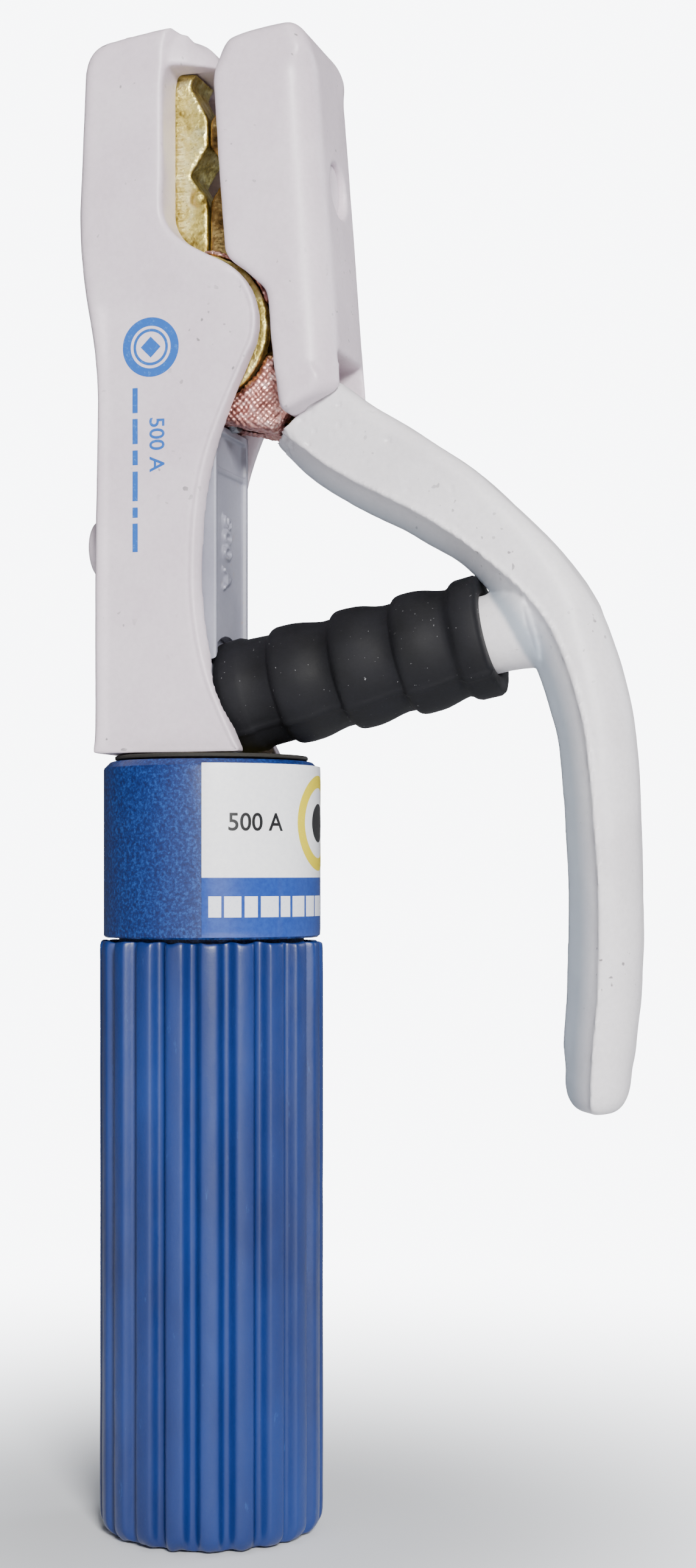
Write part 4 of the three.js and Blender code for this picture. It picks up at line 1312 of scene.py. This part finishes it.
# Pad print on the front of the fixed cover: a ring with a square in it, the rating, and a dashed line.
badgePlace = (-7.0, 208.4)
coverPrints = [  # piece, its middle, degrees turned
    (ringPiece("cover_print_ring", 5.2, 3.7), badgePlace, 0.0),
    (ringPiece("cover_print_inner_ring", 3.2, 2.7), badgePlace, 0.0),
    (barPiece("cover_print_square", 2.6, [(0, 2.6)]), badgePlace, 45.0),
    (wordPiece("cover_print_rating", "500 A", 3.9), (-6.0, 191.4), -90.0),
    (barPiece("cover_print_dashes", 1.0, [
        (-13.2, 4.4), (-7.8, 4.4), (-3.2, 2.6), (1.8, 5.2), (6.4, 1.8), (10.8, 5.0)]), (-9.9, 186.0), -90.0),
]
for piece, (x, z), turned in coverPrints:
    castPrint(piece, x, z, turned)
    tidyFaces(piece, 30)
    finishPiece(piece, piece.name, bodyName, inkBlue)
print("label and prints laid on")


# Panel that closes the channel, with a ridge round its edge and the rating raised on it.
panel = {
    "back": 0.4,
    "front": 3.4,
    "half": 9.0,
    "low": 137.9,
    "high": 195.4,
    "ridge": (1.1, 0.5),  # width, and how proud it stands
    "ridgeFoot": 1.5,
    "crossRidge": (187.2, 188.0),
    "letterHeight": 5.4,
    "letterPlace": (-1.2, 173.6),
    "grain": 0.26,
}
half = panel["half"]
low = panel["low"]
high = panel["high"]
front = panel["front"]
foot = panel["ridgeFoot"]
ridgeWidth, proud = panel["ridge"]
crossLow, crossHigh = panel["crossRidge"]
plate = boxPiece("channel_panel", (panel["back"], -half, low), (front - 0.4, half, high))
strips = [
    boxPiece("ridge", (foot, -half, low), (front + proud, -half + ridgeWidth, high)),
    boxPiece("ridge", (foot, half - ridgeWidth, low), (front + proud, half, high)),
    boxPiece("ridge", (foot, -half, high - 1.4), (front + proud, half, high)),
    boxPiece("ridge", (foot, -half, crossLow), (front + 0.1, half, crossHigh)),
]
rating = wordPiece("panel_rating", "500 A", panel["letterHeight"])
rating.data.transform(Matrix.Scale(30, 4, Vector((0, 0, 1))))  # raised letters, not a print
for degrees, axis in ((-90, "Z"), (90, "X"), (90, "Z")):
    rating.data.transform(Matrix.Rotation(math.radians(degrees), 4, axis))
rating.data.transform(Matrix.Translation(Vector((front - 0.12, *panel["letterPlace"])) * mm))
joined(plate, [*strips, rating])
softened(plate, panel["grain"], 2)
cutAway(plate, [
    rodPiece("bore", 8.0, alongSpring(-25), alongSpring(40), 64),
    rodPiece("seat", bootSeat, alongSpring(-0.3), alongSpring(30), 64),
])
# The panel's darker grey is painted shade.
finishPiece(plate, "channel_panel", bodyName, panelGreyInPaintedShade, ["channel_cover"])
print("channel panel:", len(plate.data.vertices), "points")


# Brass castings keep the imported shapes, softened as sand leaves them, with grit, draw marks and a riser stub.
casting = {
    "grain": 0.42,
    "grit": 0.07,
    "lumps": 0.16,
    "jawStretchFrom": 34,  # mm above the hinge
    "jawStretch": 0.2,
    "stub": (1.5, (-0.6, -4.6, 235.7)),  # radius, and middle
}
stubRadius, stubPlace = casting["stub"]
bodyMetal = copyOf("body_casting", "body_metal")
clearSelection()
bpy.ops.mesh.primitive_uv_sphere_add(
    segments=32, ring_count=16, radius=stubRadius * mm, location=Vector(stubPlace) * mm)
stub = takeNew("stub")
bakePlace(stub)
joined(bodyMetal, [stub])
softened(bodyMetal, casting["grain"], 1)


def castSkin(place, normal):
    grit = casting["grit"] * waves(place, 0.9) + casting["lumps"] * 0.5 * waves(place, 3.2, 6.0)
    draw = 0.16 * math.sin(place.z * 2 * math.pi / 1.3) * ease(-3.0, -3.4, place.x) * ease(-4.4, -5.0, place.y)
    return grit + draw * (place.z > pivotZ + 14)


for vertex in bodyMetal.data.vertices:  # the jaw runs up close under the roof
    over = vertex.co.z / mm - pivotZ - casting["jawStretchFrom"]
    if over > 0:
        vertex.co.z += casting["jawStretch"] * over * mm
nudge(bodyMetal, castSkin)
finishPiece(bodyMetal, "body_brass_casting", bodyName, brass, ["body_casting"])
leverMetal = copyOf("lever_casting", "lever_metal")
softened(leverMetal, casting["grain"], 1)
nudge(leverMetal, lambda place, normal: (
    casting["grit"] * waves(place, 0.9, 4.0) + 0.08 * waves(place, 3.2, 2.0)))
# The lever casting's darker brass is partly painted shade.
finishPiece(leverMetal, "lever_brass_casting", leverName, brownBrassInPaintedShade, ["lever_casting"])
print("castings:", len(bodyMetal.data.vertices), len(leverMetal.data.vertices), "points")


# Woven copper strap: strands cross over and under on its skin.
braid = {
    "strand": 0.78,  # mm between strands of one lay
    "depth": 0.26,
    "grain": 0.20,
    "ends": ((0.0, 197.0), (18.0, 207.0)),
    "wrapSection": (  # across, and radius about the hinge
        (-7.9, 13.35), (-7.7, 13.75), (-4.0, 13.85), (0, 13.85), (4.0, 13.85), (7.7, 13.75), (7.9, 13.35),
        (0, 13.3)),
    "wrapTurn": (84, 18),  # degrees, from the top round to the front
}
strap = copyOf("copper_braid", "braid")
softened(strap, braid["grain"], 6)


def wovenSkin(place, normal):
    if abs(normal.y) > 0.6:
        a, b = place.x, place.z
    else:
        a, b = math.atan2(place.z - pivotZ, place.x) * 14.0, place.y
    a += 0.55 * waves(place, 2.6, 11.0)
    b += 0.55 * waves(place, 2.6, 17.0)
    over = (a + b) / braid["strand"] / math.sqrt(2)
    under = (a - b) / braid["strand"] / math.sqrt(2)
    lay = int(math.floor(over) + math.floor(under)) % 2
    strand = math.sin(math.pi * (over % 1.0)) * math.sin(math.pi * (under % 1.0)) ** 0.5
    weave = braid["depth"] * (strand - 0.75 + 0.12 * lay)
    return weave + 0.16 * waves(place, 1.7) + 0.22 * waves(place, 4.0, 3.0)


nudge(strap, wovenSkin)
finishPiece(strap, "woven_braid", None, copper, ["copper_braid"])
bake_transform(strap)
# A second turn of the strap shows over the top of the ears.
wrapRings = []
for i in range(33):
    turnFrom, turnTo = braid["wrapTurn"]
    angle = math.radians(turnFrom + (turnTo - turnFrom) * i / 32)
    wrapRings.append([
        (r * math.cos(angle), y, pivotZ + r * math.sin(angle)) for y, r in braid["wrapSection"]])
wrap = loftPiece("braid_over_ears", wrapRings)
softened(wrap, braid["grain"], 1)
nudge(wrap, lambda place, normal: 0.8 * wovenSkin(place, normal) + 0.12)
finishPiece(wrap, "woven_braid_over_ears", bodyName, copper)
print("braid woven:", len(strap.data.vertices), "points")


# Turned hardware: each is a profile of (radius, height), a slot or thread if it has one, and its place.
def turnedAt(name, profile, place, direction, slot, thread):
    piece = turnedPiece(name, profile, 64)
    if thread:
        radius, pitch, depth, low, high = thread
        for vertex in piece.data.vertices:
            x, y, z = vertex.co / mm
            if low <= z <= high and abs(math.hypot(x, y) - radius) < 0.06:
                wave = math.sin(2 * math.pi * (z / pitch - math.atan2(y, x) / (2 * math.pi)))
                shrink = 1 - depth * (0.5 - 0.5 * wave) / radius
                vertex.co.x *= shrink
                vertex.co.y *= shrink
    if slot:
        width, depth = slot
        top = max(height for _, height in profile)
        reach = max(radius for radius, _ in profile) + 1
        cutAway(piece, [boxPiece("slot", (-reach, -width / 2, top - depth), (reach, width / 2, top + 1))])
    turn = Vector(direction).to_track_quat("Z", "Y").to_matrix().to_4x4()
    piece.data.transform(Matrix.Translation(Vector(place) * mm) @ turn)
    tidyFaces(piece, 32)
    return piece


threadStep = 0.14  # mm between the rings that a thread is drawn in


# A cheese-head screw with its head's underside at height 0 and its shank below.
def screwProfile(head, headHeight, shank, length):
    profile = [(0.01, -length), (shank - 0.5, -length), (shank, -length + 0.5)]
    steps = int(length / threadStep)
    profile += [(shank, -length + 0.5 + (length - 0.7) * i / steps) for i in range(1, steps)]
    return profile + [
        (shank, -0.05), (head - 0.15, 0), (head, 0.15), (head, headHeight - 0.45),
        (head - 0.12, headHeight - 0.15), (head - 0.45, headHeight), (0.01, headHeight)]


def studProfile(radius, half):
    threaded = [(radius, -half + 0.5 + threadStep * i) for i in range(109)]
    return [
        (0.01, -half), (radius - 0.3, -half), (radius, -half + 0.3), *threaded,
        (radius, half - 0.3), (radius - 0.3, half), (0.01, half)]


wellHeight = pivotZ + upperCover["screwHeight"]
hardware = [  # name, profile, place, direction, slot, thread, body, finish, slot name, replaces
    ("fixed_cover_screw_slotted", screwProfile(3.6, 2.6, 2.2, 13.0),
     (-18.3, 0, bossZ), (-1, 0, 0), (1.0, 1.3), (2.2, 0.8, 0.4, -12.5, -1.5),
     bodyName, steel, "steel", ["fixed_cover_screw"]),
    ("upper_cover_screw_slotted", screwProfile(3.6, 0.9, 2.2, 11.8),
     (screwSeat + 0.3, 0, wellHeight), (1, 0, 0), (1.0, 0.5), (2.2, 0.8, 0.4, -11.4, -1.5),
     leverName, steel, "steel", ["upper_cover_screw"]),
    ("upper_screw_plug", [
        (0.01, 1.2), (3.9, 1.2), (4.6, 1.25), (4.7, 1.5), (4.5, 1.75), (3.6, 1.6), (2.4, 1.5), (0.01, 1.45)],
     (screwSeat + 0.1, 0, wellHeight), (1, 0, 0), None, None, leverName, coverGrey, "insulation", []),
    ("handle_grub_screw", screwProfile(2.5, 1.2, 2.5, 9.0),
     (0, 17.5, handle["screwHeight"]), (0, 1, 0), (0.8, 1.0), (2.5, 0.8, 0.4, -8.5, -0.4),
     bodyName, steel, "steel", ["handle_screw"]),
    ("braid_clamp_screw", screwProfile(2.6, 1.6, 1.6, 11.6),
     (3.7, 0, 197.5), (1, 0, 0), (0.7, 0.7), (1.6, 0.7, 0.3, -11.2, -0.4),
     bodyName, steel, "steel", ["braid_screw_body"]),
    ("lever_clamp_screw", studProfile(1.6, 8.1),
     (16.1, 0, 205.2), (0, 1, 0), (0.5, 0.5), (1.6, 0.7, 0.3, -7.5, 7.5),
     leverName, steel, "steel", ["braid_screw_lever"]),
    ("hinge_pin", [
        (0.01, -9.0), (3.4, -9.0), (4.0, -8.5), (4.0, -8.0), (3.75, -7.9), (3.75, -7.7), (4.0, -7.6),
        (4.0, 0), (4.0, 7.6), (3.75, 7.7), (3.75, 7.9), (4.0, 8.0), (4.0, 8.5), (3.4, 9.0), (0.01, 9.0)],
     (0, 0, pivotZ), (0, 1, 0), None, None, bodyName, steel, "steel", ["pivot_pin"]),
    ("spring_seat_cup", [
        (0.01, -6.7), (7.4, -6.7), (7.6, -6.5), (7.6, -5.4), (7.4, -5.2), (4.9, -5.2), (4.6, -5.0),
        (4.5, -3.0), (3.8, -0.4), (3.2, 0), (0.01, 0)],
     None, None, None, None, bodyName, steel, "steel", ["spring_seat"]),
    ("spring_end_plate", [
        (0.01, 43.1), (6.6, 43.1), (6.9, 43.3), (6.9, 44.3), (6.6, 44.6), (0.01, 44.6)],
     None, None, None, None, leverName, steel, "steel", ["spring_plate"]),
    ("vulcanised_washer", [
        (12.2, 136.65), (12.35, 136.6), (17.05, 136.6), (17.2, 136.75), (17.2, 137.15), (17.05, 137.3),
        (12.35, 137.3), (12.2, 137.15)],
     (0, 0, 0), (0, 0, 1), None, None, bodyName, fibreBlack, "fibre", ["fibre_washer"]),
    ("copper_shim", [
        (6.2, 94.7), (6.3, 94.6), (6.8, 94.6), (6.9, 94.8), (6.9, 110), (6.9, 125.2), (6.75, 125.3),
        (6.3, 125.3), (6.2, 125.1), (6.2, 110)],
     (0, 0, 0), (0, 0, 1), None, None, bodyName, copper, "copper", ["cable_shim"]),
]
for name, side in (("front", -1), ("rear", 1)):
    hardware.append((
        "thrust_washer_" + name + "_turned", [
            (4.4, 4.75), (4.5, 4.7), (8.1, 4.7), (8.3, 4.85), (8.3, 5.05), (8.1, 5.2), (4.5, 5.2), (4.4, 5.1)],
        (0, 0, pivotZ), (0, side, 0), None, None, bodyName, brass, "brass", ["thrust_washer_" + name]))
for name, height in (("lower", 102.6), ("upper", 114.6)):
    hardware.append((
        "cable_set_screw_" + name, [
            (0.01, 7.5), (2.6, 7.5), (3.1, 8.0), *[(3.6, 8.2 + 0.13 * i) for i in range(23)],
            (3.5, 11.15), (3.3, 11.3), (0.01, 11.3)],
        (0, 0, height), (0, 1, 0), (0.9, 1.4), (3.6, 1.0, 0.45, 8.2, 11.1),
        bodyName, steel, "steel", ["cable_screw_" + name]))
for name, profile, place, direction, slot, thread, body, finish, slotName, replaced in hardware:
    if place is None:  # on the axis of the spring
        piece = turnedAt(name, profile, (0, 0, 0), (0, 0, 1), slot, thread)
        piece.data.transform(springPlace)
    else:
        piece = turnedAt(name, profile, place, direction, slot, thread)
    finishPiece(piece, name, body, finish, replaced)

# Open retaining rings in the grooves of the pin.
clip = {
    "inside": 4.3,
    "outside": 6.5,
    "levels": ((8.5, 0.1), (8.58, 0), (8.92, 0), (9.0, 0.1)),  # across, and how far its edges draw in
    "gap": 0.5,  # radians to each side of the opening
    "steps": 60,
}
arc = 2 * math.pi - 2 * clip["gap"]
angles = [clip["gap"] + arc * i / clip["steps"] for i in range(clip["steps"] + 1)]
for name, side in (("front", -1), ("rear", 1)):
    clipRings = []
    for y, draw in clip["levels"]:
        edge = [(clip["outside"] - draw, a) for a in angles]
        edge += [(clip["inside"] + draw, a) for a in reversed(angles)]
        clipRings.append([(r * math.cos(a), side * y, pivotZ + r * math.sin(a)) for r, a in edge])
    piece = loftPiece("clip", clipRings)
    tidyFaces(piece, 32)
    finishPiece(piece, "retaining_clip_" + name, bodyName, steel, ["retaining_ring_" + name])
print("hardware turned")
